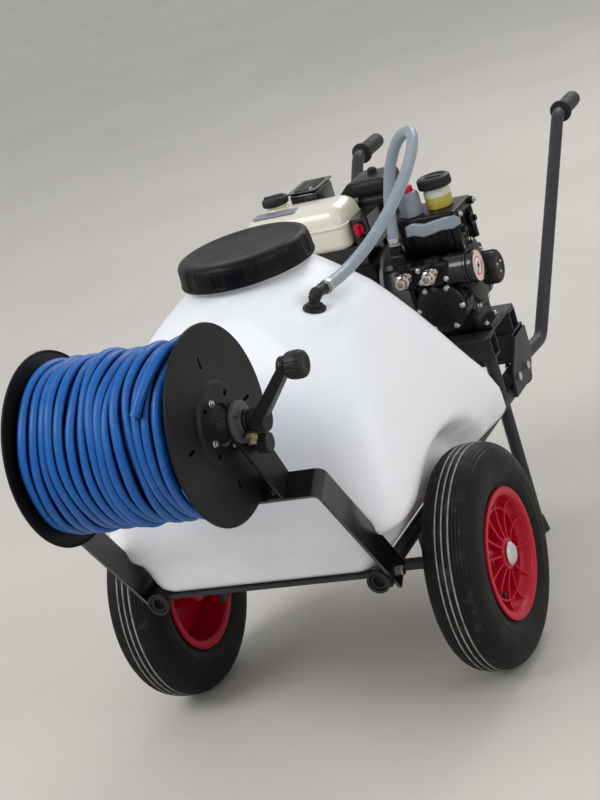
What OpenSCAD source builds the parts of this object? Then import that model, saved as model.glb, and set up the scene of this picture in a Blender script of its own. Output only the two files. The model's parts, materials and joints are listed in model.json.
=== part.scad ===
// Wheeled sprayer cart: a tube frame on two pneumatic wheels and two legs carries
// a polyethylene tank, an engine-driven diaphragm pump behind it and a hose reel in front.
// +X is the crank side, +Y points to the handles, +Z is up and the ground is z = 0.
// The origin is the middle of the bounding box's bottom face.
// Inside on_cart() the axle's centre is above y = 0.

/* [Wheels] */
// Outside diameter of the tyres
tyre_d = 400; // [396:1:404]
// Width of the tyres
tyre_w = 100; // [94:1:104]
// Distance between the two wheel centre planes
track = 626; // [622:1:650]
// Diameter of the axle in the wheel hubs
axle_d = 20; // [18:1:22]

/* [Frame] */
// Outside diameter of the rails and handle tubes
tube_d = 27; // [25:1:27]
// Distance between the side rails' centre lines
rail_gap = 426; // [424:1:428]
// Height of the rails' centre line
rail_z = 283; // [280:1:286]
// Height of the deck under the engine and pump
deck_z = 431; // [431:1:432]
// Grip end behind the axle
grip_reach = 1323; // [1300:1:1350]

/* [Tank] */
// Height of the tank's neck rim
neck_z = 788; // [786:1:792]
// Radius of the tank's neck
neck_r = 108; // [106:1:108]
// Wall thickness of the tank
wall = 5; // [4:0.5:6]

/* [Reel] */
// Outside radius of the reel flanges
reel_r = 158; // [150:1:158]
// Reel axis ahead of the wheel axle
reel_ahead = 438; // [436:1:450]
// Height of the reel axis
reel_z = 677; // [677:1:685]
// Half the distance between the outer faces of the two flanges
reel_half = 147; // [145:1:148]
// Turns of hose in the outer layer
hose_turns = 15; // [12:1:16]
// Crank radius
crank_r = 76; // [72:1:90]

/* [Engine and pump] */
// Distance from the axle back to the drive shaft
shaft_y = 560; // [560:1:562]
// Height of the drive shaft
shaft_z = 540; // [540:1:542]

/* [Hidden] */
$fn = 48;
tyre_r = tyre_d / 2;
axle_r = axle_d / 2;
tube_r = tube_d / 2;
tube_wall = 2.5;
bead = 0.3;
rail_x = rail_gap / 2;
rail_top = rail_z + tube_r;
rail_front = -227;
rail_rear = 640;
wheel_x = track / 2;
hub_half = 41;
running_gap = 0.05;
cart_y = (reel_ahead + reel_r - grip_reach) / 2;
leg_y = 505;
leg_r = 12.5;
beam_h = 44;
deck_t = 4;
beam_z = deck_z - deck_t - beam_h;
beam_ys = [487, 620];
beam_w = 36;
handle_z = rail_top + tube_r;
plate_x = rail_x + tube_r;
plate_t = 6;
handle_bolt_ys = [567, 625];
bolt_r = 5;
carrier_angle = 34;
carrier_y = -193;
carrier_w = 50;
carrier_t = 6;
carrier_x = 240;
carrier_h = 300;
reel_v = (-reel_ahead - carrier_y) * cos(carrier_angle) + (reel_z - rail_z) * sin(carrier_angle);
reel_w = (reel_ahead + carrier_y) * sin(carrier_angle) + (reel_z - rail_z) * cos(carrier_angle);
bracket_x = 175;
bracket_t = 5;
foot_bolts = [[165, -14], [165, 14]];
foot_bolt_r = 3.5;
flange_t = 2;
drum_r = 55;
shaft_r = 12;
hose_r = (reel_half - flange_t - 3) / hose_turns;
brake_at = [-412, 628];
boss_at = [158, -42, 708];
boss_tilt = 18;
boss_r = 23;
elbow_h = 28;
elbow_turn = 10;
suction_r = 11;
barb_r = 7;
pump_inlet = [100, 478, 640];
tap_xs = [118, 172];
tap_z = 586;
manifold_front = 445;

// ---------- helpers ----------

module on_cart() {
    translate([0, cart_y, 0]) children();
}

module pair() {
    children();
    mirror([1, 0, 0]) children();
}

// Cylinder between two points
module rod(a, b, r) {
    v = b - a;
    translate(a) rotate([0, acos(v[2] / norm(v)), atan2(v[1], v[0])]) cylinder(r = r, h = norm(v));
}

// Cylinder or ring along X from x0 to x1
module bar_x(x0, x1, r, inner = 0) {
    translate([x0, 0, 0]) rotate([0, 90, 0]) difference() {
        cylinder(r = r, h = x1 - x0);
        if (inner > 0) translate([0, 0, -1]) cylinder(r = inner, h = x1 - x0 + 2);
    }
}

// Cylinder or ring along -Y, from y0 forward to y1
module bar_y(y0, y1, r, inner = 0) {
    translate([0, y0, 0]) rotate([90, 0, 0]) difference() {
        cylinder(r = r, h = y0 - y1);
        if (inner > 0) translate([0, 0, -1]) cylinder(r = inner, h = y0 - y1 + 2);
    }
}

module ring_z(z0, z1, r, inner) {
    translate([0, 0, z0]) difference() {
        cylinder(r = r, h = z1 - z0);
        translate([0, 0, -1]) cylinder(r = inner, h = z1 - z0 + 2);
    }
}

// Box from its lowest to its highest corner
module block(low, high) {
    translate(low) cube(high - low);
}

// Revolve a [radius, x] outline about the X axis
module revolve_x(points) {
    rotate([0, 90, 0]) rotate_extrude($fn = 96) polygon(points);
}

// Vertical prism with four rounded corners
module rounded_block(low, high, r) {
    translate([0, 0, low[2]]) linear_extrude(high[2] - low[2]) union() {
        translate([low[0] + r, low[1]]) square([high[0] - low[0] - 2 * r, high[1] - low[1]]);
        translate([low[0], low[1] + r]) square([high[0] - low[0], high[1] - low[1] - 2 * r]);
        for (x = [low[0] + r, high[0] - r], y = [low[1] + r, high[1] - r])
            translate([x, y]) circle(r = r);
    }
}

function arc(cx, cy, r, from, to, steps) =
    [for (i = [0:steps]) let (a = from + (to - from) * i / steps) [cx + r * cos(a), cy + r * sin(a)]];

function power(v, e) = sign(v) * pow(abs(v), e);

function bezier(p, t) =
    pow(1 - t, 3) * p[0] + 3 * t * pow(1 - t, 2) * p[1] + 3 * t * t * (1 - t) * p[2] + pow(t, 3) * p[3];

// ---------- frame ----------

module side_plate() {
    translate([plate_x, 0, 0]) rotate([90, 0, 90]) linear_extrude(plate_t) polygon(
        [[leg_y + 35, rail_z - 6], [rail_rear, rail_z - 6], [680, handle_z + tube_r],
         [680, beam_z - 7], [612, beam_z - 7], [leg_y + 45, handle_z + 12]]);
}

module frame_half() {
    translate([rail_x, 0, rail_z]) bar_y(rail_rear, rail_front, tube_r);
    rod([rail_x, leg_y, 6], [rail_x, leg_y, beam_z + 1], leg_r);
    block([rail_x - 4, -30, tyre_r - 22], [rail_x + 4, 30, rail_z]);
    side_plate();
    block([rail_x, carrier_y - 34, rail_z - 12], [carrier_x - carrier_t, carrier_y + 26, rail_z + 12]);
}

module frame() {
    color("dimgray") on_cart() difference() {
        union() {
            pair() frame_half();
            for (y = [-222, 60, 330]) block([-rail_x, y, rail_top - 8], [rail_x, y + 18, rail_top - 1]);
            for (y = beam_ys) block([-230, y, beam_z], [230, y + beam_w, beam_z + beam_h]);
            block([-228, 612, handle_z + tube_r], [228, 680, beam_z + 1]);
            rounded_block([-230, 470, deck_z - deck_t], [228, 665, deck_z], 8);
        }
        pair() {
            translate([rail_x, 0, rail_z]) bar_y(rail_rear + 1, rail_front - 1, tube_r - tube_wall);
            translate([0, 0, tyre_r]) bar_x(rail_x - 10, rail_x + 10, axle_r + 1);
            for (y = handle_bolt_ys) translate([0, y, handle_z]) bar_x(rail_x, 250, bolt_r + 0.25);
            translate([0, carrier_y, rail_z]) bar_x(rail_x - 30, 260, bolt_r + 0.25);
        }
        for (y = beam_ys) block([-231, y + 3, beam_z + 3], [231, y + beam_w - 3, beam_z + beam_h - 3]);
        block([-229, 615, handle_z + tube_r + 3], [229, 677, beam_z - 3]);
    }
}

module rail_end_caps() {
    color("black") on_cart() pair() for (end = [[rail_front, -4], [rail_rear, 4]])
        translate([rail_x, 0, rail_z]) {
            bar_y(max(end[0], end[0] + end[1]), min(end[0], end[0] + end[1]), tube_r);
            bar_y(max(end[0], end[0] - 3 * end[1]), min(end[0], end[0] - 3 * end[1]), tube_r - tube_wall);
        }
}

module leg_feet() {
    color("black") on_cart() pair() translate([rail_x, leg_y, 0]) difference() {
        cylinder(r1 = 20, r2 = leg_r + 3, h = 30, $fn = 64);
        translate([0, 0, 6]) cylinder(r = leg_r, h = 30);
    }
}

module frame_bolts() {
    color("silver") on_cart() pair() {
        for (y = handle_bolt_ys) translate([0, y, handle_z]) {
            bar_x(rail_x - tube_r - 9, plate_x + plate_t, bolt_r);
            bar_x(plate_x + plate_t, plate_x + plate_t + 7, 9, $fn = 6);
            bar_x(rail_x - tube_r - 8, rail_x - tube_r, 9, $fn = 6);
        }
        translate([0, carrier_y, rail_z]) {
            bar_x(rail_x - tube_r - 9, carrier_x, bolt_r);
            bar_x(carrier_x, carrier_x + 7, 9, $fn = 6);
            bar_x(rail_x - tube_r - 8, rail_x - tube_r, 9, $fn = 6);
        }
        on_carrier() for (p = foot_bolts) translate([p[0], p[1], 0]) {
            translate([0, 0, carrier_h - carrier_t - 6]) cylinder(r = foot_bolt_r, h = 21);
            translate([0, 0, carrier_h + bracket_t]) cylinder(r = 6, h = 4.5, $fn = 6);
            translate([0, 0, carrier_h - carrier_t - 5]) cylinder(r = 6, h = 5, $fn = 6);
        }
    }
}

// ---------- wheels ----------

module wheel(side) {
    on_cart() translate([side * wheel_x, 0, tyre_r]) mirror([side < 0 ? 1 : 0, 0, 0]) children();
}

// Half-outline of the tyre's section, from bead to bead
function tyre_arc(height, width, from, to) =
    [for (a = [from:(to - from) / 24:to])
        [152 + height * power(cos(a), 0.8), width * power(sin(a), 0.8)]];

module tyre(side) {
    color([0.08, 0.08, 0.08]) wheel(side) revolve_x(concat(
        tyre_arc(tyre_r - 152, tyre_w / 2, -125, 125), [[118, hub_half], [105, hub_half], [105, 30]],
        tyre_arc(tyre_r - 161, tyre_w / 2 - 8, 125, -125), [[105, -30], [105, -hub_half], [118, -hub_half]]));
}

module inner_tube(side) {
    color([0.15, 0.15, 0.15]) wheel(side) {
        rotate([0, 90, 0]) rotate_extrude() translate([152, 0]) circle(r = 34);
        rotate([135, 0, 0]) translate([0, 0, 78]) cylinder(r = 4, h = 44);
    }
}

module rim(side) {
    rib_count = 12;
    color("crimson") wheel(side) difference() {
        union() {
            revolve_x([[99, -46], [116, -46], [116, -41.5], [104.5, -41.5], [104.5, 41.5],
                [116, 41.5], [116, 46], [99, 46]]);
            bar_x(-hub_half, hub_half, 28);
            bar_x(4, 11, 100);
            for (i = [0:rib_count - 1]) rotate([360 / rib_count * i + 12, 0, 0])
                block([-22, -2.5, 24], [30, 2.5, 100]);
        }
        bar_x(-hub_half - 1, hub_half + 1, 16);
        rotate([135, 0, 0]) translate([0, 0, 70]) cylinder(r = 5, h = 44);
    }
}

module hub_bush(side) {
    color("ivory") wheel(side) bar_x(-hub_half, hub_half, 16, axle_r + running_gap);
}

module axle() {
    color("dimgray") on_cart() translate([0, 0, tyre_r]) {
        bar_x(-wheel_x - 45, wheel_x + 45, axle_r);
        bar_x(-wheel_x + 44, wheel_x - 44, axle_r + 1);
    }
}

module axle_washers() {
    color("silver") on_cart() pair() translate([0, 0, tyre_r])
        bar_x(wheel_x - 44, wheel_x - 41.5, 19, axle_r);
}

module hub_caps() {
    color("silver") on_cart() pair() translate([wheel_x, 0, tyre_r]) difference() {
        revolve_x([[0, 42], [21, 42], [21, 45], [16, 49], [0, 49.5]]);
        bar_x(40, 45, axle_r);
    }
}

// ---------- handles ----------

module handle(side) {
    bend_side = [rail_x, 690, handle_z];
    bend_low = [222, 775, handle_z];
    bend_top = [243, 1188, 668];
    color("dimgray") on_cart() mirror([side < 0 ? 1 : 0, 0, 0]) difference() {
        union() {
            rod([rail_x, 545, handle_z], bend_side, tube_r);
            rod(bend_side, bend_low, tube_r);
            rod(bend_low, bend_top, tube_r);
            rod(bend_top, [243, grip_reach - 5, 668], tube_r);
            for (p = [bend_side, bend_low, bend_top]) translate(p) sphere(r = tube_r + bead);
        }
        for (y = handle_bolt_ys) translate([0, y, handle_z]) bar_x(180, 250, bolt_r + 0.25);
    }
}

module grip(side) {
    color([0.1, 0.1, 0.1]) on_cart() mirror([side < 0 ? 1 : 0, 0, 0])
        translate([243, 0, 668]) difference() {
            union() {
                bar_y(grip_reach, 1212, 17);
                bar_y(1218, 1212, 23);
            }
            bar_y(grip_reach - 5, 1200, tube_r);
        }
}

// ---------- tank ----------

// One thin level of the tank: height, half width, front, rear, corner radius
module tank_level(s, inset) {
    r = s[4] - inset;
    translate([0, 0, s[0]]) for (x = [-1, 1], y = [s[2] + s[4], s[3] - s[4]])
        translate([x * (s[1] - s[4]), y, 0]) cylinder(r = r, h = 0.2, $fn = 40);
}

module tank_form(inset) {
    skirt = [[312, 266, 236, 394, 44], [372, 272, -216, 394, 54]];
    upper = [[400, 290, -240, 376, 90], [480, 282, -216, 304, 100], [560, 262, -180, 257, 104],
        [650, 222, -132, 214, 106], [705, 176, -94, 197, 108], [738, 138, -60, 190, 112]];
    lower = [[rail_top, 202, -214, 352, 34], [rail_top + 16, 222, -224, 366, 44],
        [385, 248, -228, 376, 62]];
    hull() {
        translate([0, 0, inset]) for (s = skirt) tank_level(s, inset);
        for (s = upper) tank_level(s, inset);
        translate([0, 74.5, 756 - inset]) cylinder(r = 114 - inset, h = 2, $fn = 64);
    }
    hull() for (s = lower) tank_level([max(s[0], rail_top + inset), s[1], s[2], s[3], s[4]], inset);
}

module tank() {
    arch_r = tyre_r + 22;
    color([0.93, 0.94, 0.93, 0.9]) on_cart() difference() {
        union() {
            difference() {
                tank_form(0);
                pair() translate([0, 0, tyre_r]) bar_x(246, 330, arch_r);
            }
            translate([0, 74.5, 750]) cylinder(r = neck_r, h = neck_z - 750);
            at_elbow() translate([0, 0, -24]) cylinder(r = boss_r, h = 24);
        }
        difference() {
            tank_form(wall);
            pair() translate([0, 0, tyre_r]) bar_x(246 - wall, 330, arch_r + wall);
            at_elbow() translate([0, 0, -24]) cylinder(r = boss_r + wall, h = 60);
        }
        translate([0, 74.5, 740]) cylinder(r = 98, h = 60);
        at_elbow() cylinder(r = boss_r, h = 50);
        at_elbow() translate([0, 0, -40]) cylinder(r = 10, h = 60);
    }
}

module tank_lid() {
    color([0.06, 0.06, 0.06]) on_cart() translate([0, 74.5, 0]) difference() {
        rotate_extrude($fn = 96) polygon(concat(
            [[0, 793.5], [neck_r + 3, 793.5], [neck_r + 3, 768], [122, 768], [122, 774]],
            arc(108, 802, 10, 0, 60, 4), [[106, 812], [0, 810]]));
        for (a = [0:30:330]) rotate([0, 0, a]) translate([130, 0, 760]) cylinder(r = 12, h = 46);
    }
}

module lid_gasket() {
    color("black") on_cart() translate([0, 74.5, 0]) ring_z(neck_z + 2.5, 793.5, 106, 95);
}

module strainer_basket() {
    color("whitesmoke") on_cart() translate([0, 74.5, 0]) difference() {
        union() {
            ring_z(neck_z, neck_z + 2.5, 106, 92);
            ring_z(neck_z - 120, neck_z + 2, 95, 92);
            ring_z(neck_z - 120, neck_z - 117, 93, 30);
            translate([0, 0, neck_z - 120]) cylinder(r = 31, h = 3);
        }
        for (a = [0:30:330], z = [neck_z - 105:26:neck_z - 30]) rotate([0, 0, a])
            block([85, -12, z], [100, 12, z + 16]);
    }
}

module at_elbow() {
    translate(boss_at) rotate([0, boss_tilt, 0]) children();
}

module tank_elbow() {
    color("black") on_cart() at_elbow() {
        ring_z(0, 6, 20, 8);
        ring_z(6, elbow_h, 11, 7);
        translate([0, 0, elbow_h]) sphere(r = 11 + bead);
        rotate([0, 0, -elbow_turn]) translate([0, 0, elbow_h]) {
            translate([0, 30, 0]) bar_y(0, -30, 9);
            translate([0, 58, 0]) bar_y(0, -30, barb_r);
        }
    }
}

// Centre line of the suction hose: up from the elbow, over the loop and down into the pump
hose_top = [205, 445, 864];
elbow_out = [sin(elbow_turn) * cos(boss_tilt), cos(elbow_turn), -sin(elbow_turn) * sin(boss_tilt)];
hose_start = boss_at + elbow_h * [sin(boss_tilt), 0, cos(boss_tilt)] + 31 * elbow_out;
hose_up = [hose_start, hose_start + 220 * elbow_out, [248, 425, 860], hose_top];
hose_down = [hose_top, [188, 467, 870], pump_inlet + [16, 0, 150], pump_inlet + [0, 0, 6]];

module hose_leg(p, steps) {
    for (i = [0:steps - 1]) hull() for (t = [i / steps, (i + 1) / steps])
        translate(bezier(p, t)) sphere(r = suction_r, $fn = 16);
}

module suction_hose() {
    color([0.75, 0.8, 0.85, 0.6]) on_cart() difference() {
        union() {
            hose_leg(hose_up, 8);
            hose_leg(hose_down, 8);
        }
        at_elbow() rotate([0, 0, -elbow_turn]) translate([0, 0, elbow_h]) {
            translate([0, 60, 0]) bar_y(0, -62, barb_r + 0.3, $fn = 32);
            translate([0, 31, 0]) bar_y(0, -32, 20);
        }
        translate(pump_inlet - [0, 0, 4]) cylinder(r = barb_r + 0.3, h = 34, $fn = 32);
        translate(pump_inlet - [0, 0, 20]) cylinder(r = 20, h = 24);
    }
}

module hose_clamps() {
    color("silver") on_cart() {
        at_elbow() rotate([0, 0, -elbow_turn]) translate([0, 46, elbow_h]) bar_y(0, -9, 13.6, 12.6);
        translate(pump_inlet + [1.2, 0, 12]) ring_z(0, 9, 13.6, 12.6);
    }
}

// ---------- reel ----------

// Frame of the carrier's arms: X across, Y along the strap's width, Z up the arms
module on_carrier() {
    translate([0, carrier_y, rail_z]) rotate([carrier_angle, 0, 0]) children();
}

module on_reel() {
    on_cart() translate([0, -reel_ahead, reel_z]) children();
}

// Strap folded into an arch: out along its outer edge, back along its inner edge
module strap_outline() {
    bend = 14;
    strap_end = -14;
    x = carrier_x - bend;
    z = carrier_h - bend;
    polygon(concat([[carrier_x, strap_end]], arc(x, z, bend, 0, 90, 6), arc(-x, z, bend, 90, 180, 6),
        [[-carrier_x, strap_end], [carrier_t - carrier_x, strap_end]],
        arc(-x, z, bend - carrier_t, 180, 90, 6), arc(x, z, bend - carrier_t, 90, 0, 6),
        [[carrier_x - carrier_t, strap_end]]));
}

module reel_carrier() {
    color("black") on_cart() difference() {
        on_carrier() translate([0, carrier_w / 2, 0]) rotate([90, 0, 0])
            linear_extrude(carrier_w) strap_outline();
        translate([0, carrier_y, rail_z]) bar_x(-260, 260, bolt_r + 0.25);
        pair() foot_holes();
    }
}

module foot_holes() {
    on_carrier() for (p = foot_bolts) translate([p[0], p[1], carrier_h - 20])
        cylinder(r = foot_bolt_r + 0.25, h = 30);
}

module reel_brackets() {
    eye_r = 34;
    color("black") on_cart() pair() difference() {
        on_carrier() {
            block([152, -carrier_w / 2, carrier_h],
                [bracket_x + bracket_t, carrier_w / 2, carrier_h + bracket_t]);
            translate([bracket_x, 0, 0]) rotate([90, 0, 90]) linear_extrude(bracket_t) union() {
                polygon([[-25, carrier_h], [25, carrier_h],
                    [reel_v + eye_r, reel_w], [reel_v - eye_r, reel_w]]);
                translate([reel_v, reel_w]) circle(r = eye_r);
            }
        }
        translate([0, -reel_ahead, reel_z]) bar_x(100, 200, 20.3);
        translate([0, brake_at[0], brake_at[1]]) bar_x(100, 200, bolt_r + running_gap);
        foot_holes();
    }
}

module reel_bearings() {
    color("darkgray") on_reel() pair() {
        bar_x(bracket_x - 4, bracket_x + 18, 20, shaft_r + running_gap);
        bar_x(bracket_x + bracket_t + running_gap, bracket_x + 11, 33, 19);
        for (a = [40, 160, 280]) rotate([a, 0, 0]) translate([0, 0, 26])
            bar_x(bracket_x + 10, bracket_x + 16, 5, $fn = 6);
    }
}

module reel_flanges() {
    color("black") on_reel() pair() difference() {
        revolve_x(concat([[shaft_r, reel_half - flange_t]], [[reel_r - 4, reel_half - flange_t]],
            arc(reel_r - 2.5, reel_half - 2.5, 2.5, -60, 120, 6), [[reel_r - 8, reel_half], [70, reel_half],
            [64, reel_half + 4], [34, reel_half + 4], [30, reel_half], [shaft_r, reel_half]]));
        for (a = [0:90:270]) rotate([a, 0, 0]) {
            block([reel_half - 5, -3, 92], [reel_half + 2, 3, 112]);
            rotate([45, 0, 0]) translate([0, 0, 52]) bar_x(reel_half - 5, reel_half + 8, 5);
        }
    }
}

module reel_drum() {
    color("black") on_reel() bar_x(flange_t - reel_half, reel_half - flange_t, drum_r, drum_r - 2);
}

module reel_shaft() {
    color("silver") on_reel() bar_x(-bracket_x - 18, 224, shaft_r, 7);
}

module reel_hose() {
    layer = 131;
    color([0.05, 0.35, 0.8]) on_reel() revolve_x(concat(
        [for (i = [0:hose_turns - 1]) each arc(layer, hose_r * (2 * i + 1 - hose_turns), hose_r, -80, 80, 6)],
        [[drum_r, hose_turns * hose_r], [drum_r, -hose_turns * hose_r]]));
}

module crank_arm() {
    hub_x = 208;
    color("black") on_reel() {
        bar_x(hub_x, 224, 20, shaft_r);
        bar_x(224, 228, 20);
        intersection() {
            difference() {
                translate([0, 25, 0]) rotate([90, 0, 0]) linear_extrude(50) polygon(
                    [[hub_x + 2, -20], [228, -20], [228, 0], [283, 62], [287, 72], [287, 92], [278, 92],
                     [276, 78], [hub_x + 2, 8]]);
                bar_x(200, 224, shaft_r + 4);
            }
            translate([200, 0, 0]) rotate([90, 0, 90]) linear_extrude(100) polygon(
                concat(arc(0, 0, 20, 180, 360, 12), arc(0, 77, 15, 0, 180, 8)));
        }
        translate([0, 0, crank_r]) bar_x(280, 313, 5);
    }
}

module crank_knob() {
    color([0.1, 0.1, 0.1]) on_reel() translate([0, 0, crank_r]) difference() {
        revolve_x([[0, 289], [18, 289], [21, 293], [22, 300], [22, 309], [19.5, 316], [15, 319], [0, 319]]);
        bar_x(288, 314, 5 + running_gap);
    }
}

module reel_swivel() {
    color([0.1, 0.1, 0.1]) on_reel() difference() {
        union() {
            bar_x(194, 207, 19);
            translate([200.5, 0, 0]) rotate([150, 0, 0]) cylinder(r = 6, h = 36);
            translate([200.5, 0, 0]) rotate([150, 0, 0]) translate([0, 0, 22]) cylinder(r = 9, h = 8, $fn = 6);
        }
        bar_x(190, 208, shaft_r + running_gap);
        translate([200.5, 0, 0]) rotate([150, 0, 0]) cylinder(r = 4, h = 40);
    }
}

module brake_knob() {
    color([0.1, 0.1, 0.1]) on_cart() translate([0, brake_at[0], brake_at[1]]) {
        bar_x(reel_half + 5, 184, bolt_r);
        bar_x(182, 187, 9);
        bar_x(187, 206, 15);
        for (a = [0:60:300]) rotate([a, 0, 0]) translate([0, 0, 13]) bar_x(188, 205, 4);
    }
}

// ---------- engine ----------

module on_shaft() {
    on_cart() translate([0, shaft_y, shaft_z]) children();
}

module engine_block() {
    color([0.12, 0.12, 0.12]) on_cart() difference() {
        union() {
            rounded_block([-90, 485, deck_z + 8], [45, 640, 610], 14);
            block([-75, 472, deck_z], [35, 655, deck_z + 8]);
            block([-62, 640, 488], [22, 712, 596]);
            for (i = [0:6]) block([-72, 648 + 9 * i, 478], [32, 651 + 9 * i, 605]);
        }
        rounded_block([-82, 493, deck_z + 16], [37, 632, 602], 10);
        translate([0, shaft_y, shaft_z]) bar_x(-95, 50, axle_r + running_gap);
        translate([-20, 713, 542]) bar_y(0, -100, 34);
    }
}

module cylinder_head() {
    color("darkgray") on_cart() {
        block([-66, 712, 484], [26, 736, 600]);
        rounded_block([-52, 736, 496], [12, 762, 588], 8);
        for (x = [-58, 18], z = [496, 586]) translate([x, 741, z]) bar_y(0, -5, 5, $fn = 6);
    }
}

module fuel_tank() {
    r = 16;
    color([0.9, 0.88, 0.8]) on_cart() {
        hull() for (x = [-215 + r, 5 - r], y = [482 + r, 596 - r], z = [652 + r, 742 - r])
            translate([x, y, z]) sphere(r = r, $fn = 32);
        translate([-160, 562, 738]) cylinder(r = 20, h = 12);
    }
}

module fuel_cap() {
    color([0.08, 0.08, 0.08]) on_cart() translate([-160, 562, 750]) {
        cylinder(r = 26, h = 16);
        for (a = [0:30:330]) rotate([0, 0, a]) translate([25.4, 0, 1]) cylinder(r = 2.5, h = 14);
    }
}

module recoil_cover() {
    color([0.1, 0.1, 0.1]) on_cart() difference() {
        union() {
            translate([0, shaft_y, shaft_z]) {
                bar_x(-160, -90, 106);
                bar_x(-172, -160, 78);
            }
            rounded_block([-100, 500, 610.5], [30, 596, 651.5], 10);
            rounded_block([9, 504, 640], [46, 596, 704], 6);
        }
        translate([0, shaft_y, shaft_z]) {
            bar_x(-156, -89, 100);
            for (a = [0:30:330]) rotate([a, 0, 0]) translate([0, 0, 56]) bar_x(-175, -150, 9);
        }
        block([-91, 470, 430], [31, 650, 610.2]);
        block([-94, 506, 609], [24, 590, 646]);
    }
}

module recoil_handle() {
    color([0.08, 0.08, 0.08]) on_cart() translate([-174, 500, 604]) {
        bar_x(-8, 0, 6);
        translate([-14, 0, 0]) bar_y(22, -22, 8);
    }
}

module air_cleaner() {
    color([0.1, 0.1, 0.1]) on_cart() {
        rounded_block([-14, 600, 656], [62, 690, 752], 10);
        rounded_block([2, 616, 610.5], [46, 674, 656], 6);
        translate([0, 688, 0]) rotate([90, 0, 0]) linear_extrude(86)
            polygon([[-62, 704], [0, 704], [0, 750], [-18, 750]]);
        translate([24, 645, 752]) cylinder(r = 8, h = 8, $fn = 6);
    }
}

module muffler() {
    color([0.1, 0.1, 0.1]) on_cart() {
        rounded_block([-150, 602, 668], [-36, 692, 700], 14);
        rounded_block([-150, 602, 690], [-88, 692, 752], 14);
        block([-152, 600, 752], [-86, 694, 755]);
        for (x = [-140, -98]) translate([x, 612, 755]) cylinder(r = 6, h = 4, $fn = 6);
        translate([-50, 668, 605.5]) cylinder(r = 15, h = 66);
    }
}

module engine_switch() {
    color("red") on_cart() translate([27, 503.5, 684]) {
        bar_y(0, -7, 11);
        block([-5, -16, -12], [5, -7, 12]);
    }
}

module throttle_lever() {
    color([0.1, 0.1, 0.1]) on_cart() translate([27, 503.5, 662]) {
        bar_y(0, -6, 8);
        block([-4, -9, -4], [30, -6, 4]);
        translate([26, 0, 0]) bar_y(-9, -20, 6);
    }
}

module drive_shaft() {
    color("silver") on_shaft() {
        bar_x(-150, -20, axle_r);
        bar_x(-148, -118, 88);
        bar_x(-40, -30, 30);
        translate([0, 0, 20]) bar_x(-30, -10, 9);
        bar_x(-10, 0, 30);
        bar_x(0, 60, axle_r);
        bar_x(58, 92, 30);
        bar_x(92, 205, axle_r);
        translate([0, 0, 5]) bar_x(145, 180, 22);
    }
}

// ---------- pump ----------

module bell_housing() {
    color("gray") on_shaft() difference() {
        union() {
            bar_x(45, 53, 86);
            bar_x(53, 92, 66);
            bar_x(92, 100, 80);
            for (a = [45:90:315]) rotate([a, 0, 0]) block([50, -5, 60], [95, 5, 76]);
        }
        bar_x(44, 49, 20);
        bar_x(48, 101, 58);
    }
}

module pump_body() {
    color([0.1, 0.1, 0.1]) on_cart() difference() {
        union() {
            translate([0, shaft_y, shaft_z]) bar_x(100, 222, 78);
            rounded_block([108, 500, 606], [234, 606, 684], 14);
            rounded_block([118, 515, deck_z], [206, 605, 480], 8);
            translate([0, 548, 548]) bar_x(220, 232, 26);
            for (y = [512, 594], z = [624, 664]) translate([0, y, z]) bar_x(234, 240, 7, $fn = 6);
        }
        translate([0, shaft_y, shaft_z]) {
            bar_x(99, 112, axle_r + running_gap);
            bar_x(110, 212, 60);
        }
    }
}

module pump_heads() {
    color([0.1, 0.1, 0.1]) on_cart() for (end = [[480, 446, 442], [674, 640, 678]])
        translate([165, 0, 512]) difference() {
            union() {
                bar_y(end[0], end[1], 50);
                for (a = [0:60:300]) rotate([0, a, 0]) translate([0, 0, 42])
                    bar_y(max(end[0], end[2]), min(end[1], end[2]), 6, $fn = 6);
            }
            translate([-165, shaft_y, shaft_z - 512]) bar_x(90, 230, 78.1);
        }
}

module tap(x) {
    translate([x, 0, tap_z]) {
        bar_y(manifold_front, 428, 11);
        bar_y(428, 420, 13, $fn = 6);
        bar_y(420, 406, 10.5);
    }
}

module pump_manifold() {
    color([0.1, 0.1, 0.1]) on_cart() difference() {
        union() {
            rounded_block([102, manifold_front, 566], [232, 492, 605], 8);
            rounded_block([84, 462, 600], [118, 494, 628], 6);
            translate(pump_inlet - [0, 0, 14]) cylinder(r = 12, h = 16);
            translate(pump_inlet) cylinder(r = barb_r, h = 28);
        }
        for (x = tap_xs) translate([x, 0, tap_z]) bar_y(470, 400, 6);
        translate([0, shaft_y, shaft_z]) bar_x(90, 260, 78.1);
    }
}

module outlet_taps() {
    color("silver") on_cart() for (x = tap_xs) difference() {
        tap(x);
        translate([x, 0, tap_z]) bar_y(manifold_front + 1, 400, 6);
        translate([x, 436, tap_z]) cylinder(r = 4 + running_gap, h = 20);
    }
}

module tap_lever(x) {
    color("black") on_cart() translate([x, 436, tap_z]) {
        translate([0, 0, 7]) cylinder(r = 4, h = 12);
        translate([0, 0, 19]) cylinder(r = 7, h = 4);
        block([-4, -34, 20], [4, 0, 23]);
    }
}

module regulator_knob() {
    color([0.08, 0.08, 0.08]) on_cart() translate([0, 548, 548]) {
        bar_x(232.5, 268, 31);
        for (a = [0:30:330]) rotate([a, 0, 0]) translate([0, 0, 30]) bar_x(236, 265, 4);
    }
}

module pressure_gauge() {
    color("silver") on_cart() translate([0, 478, 577]) {
        bar_x(232, 238, 8);
        bar_x(238, 254, 31);
    }
}

module oil_reservoir() {
    color([0.85, 0.75, 0.2, 0.8]) on_cart() translate([182, 556, 0]) {
        ring_z(684, 724, 26, 22);
        translate([0, 0, 684]) cylinder(r = 24, h = 26);
    }
}

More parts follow.
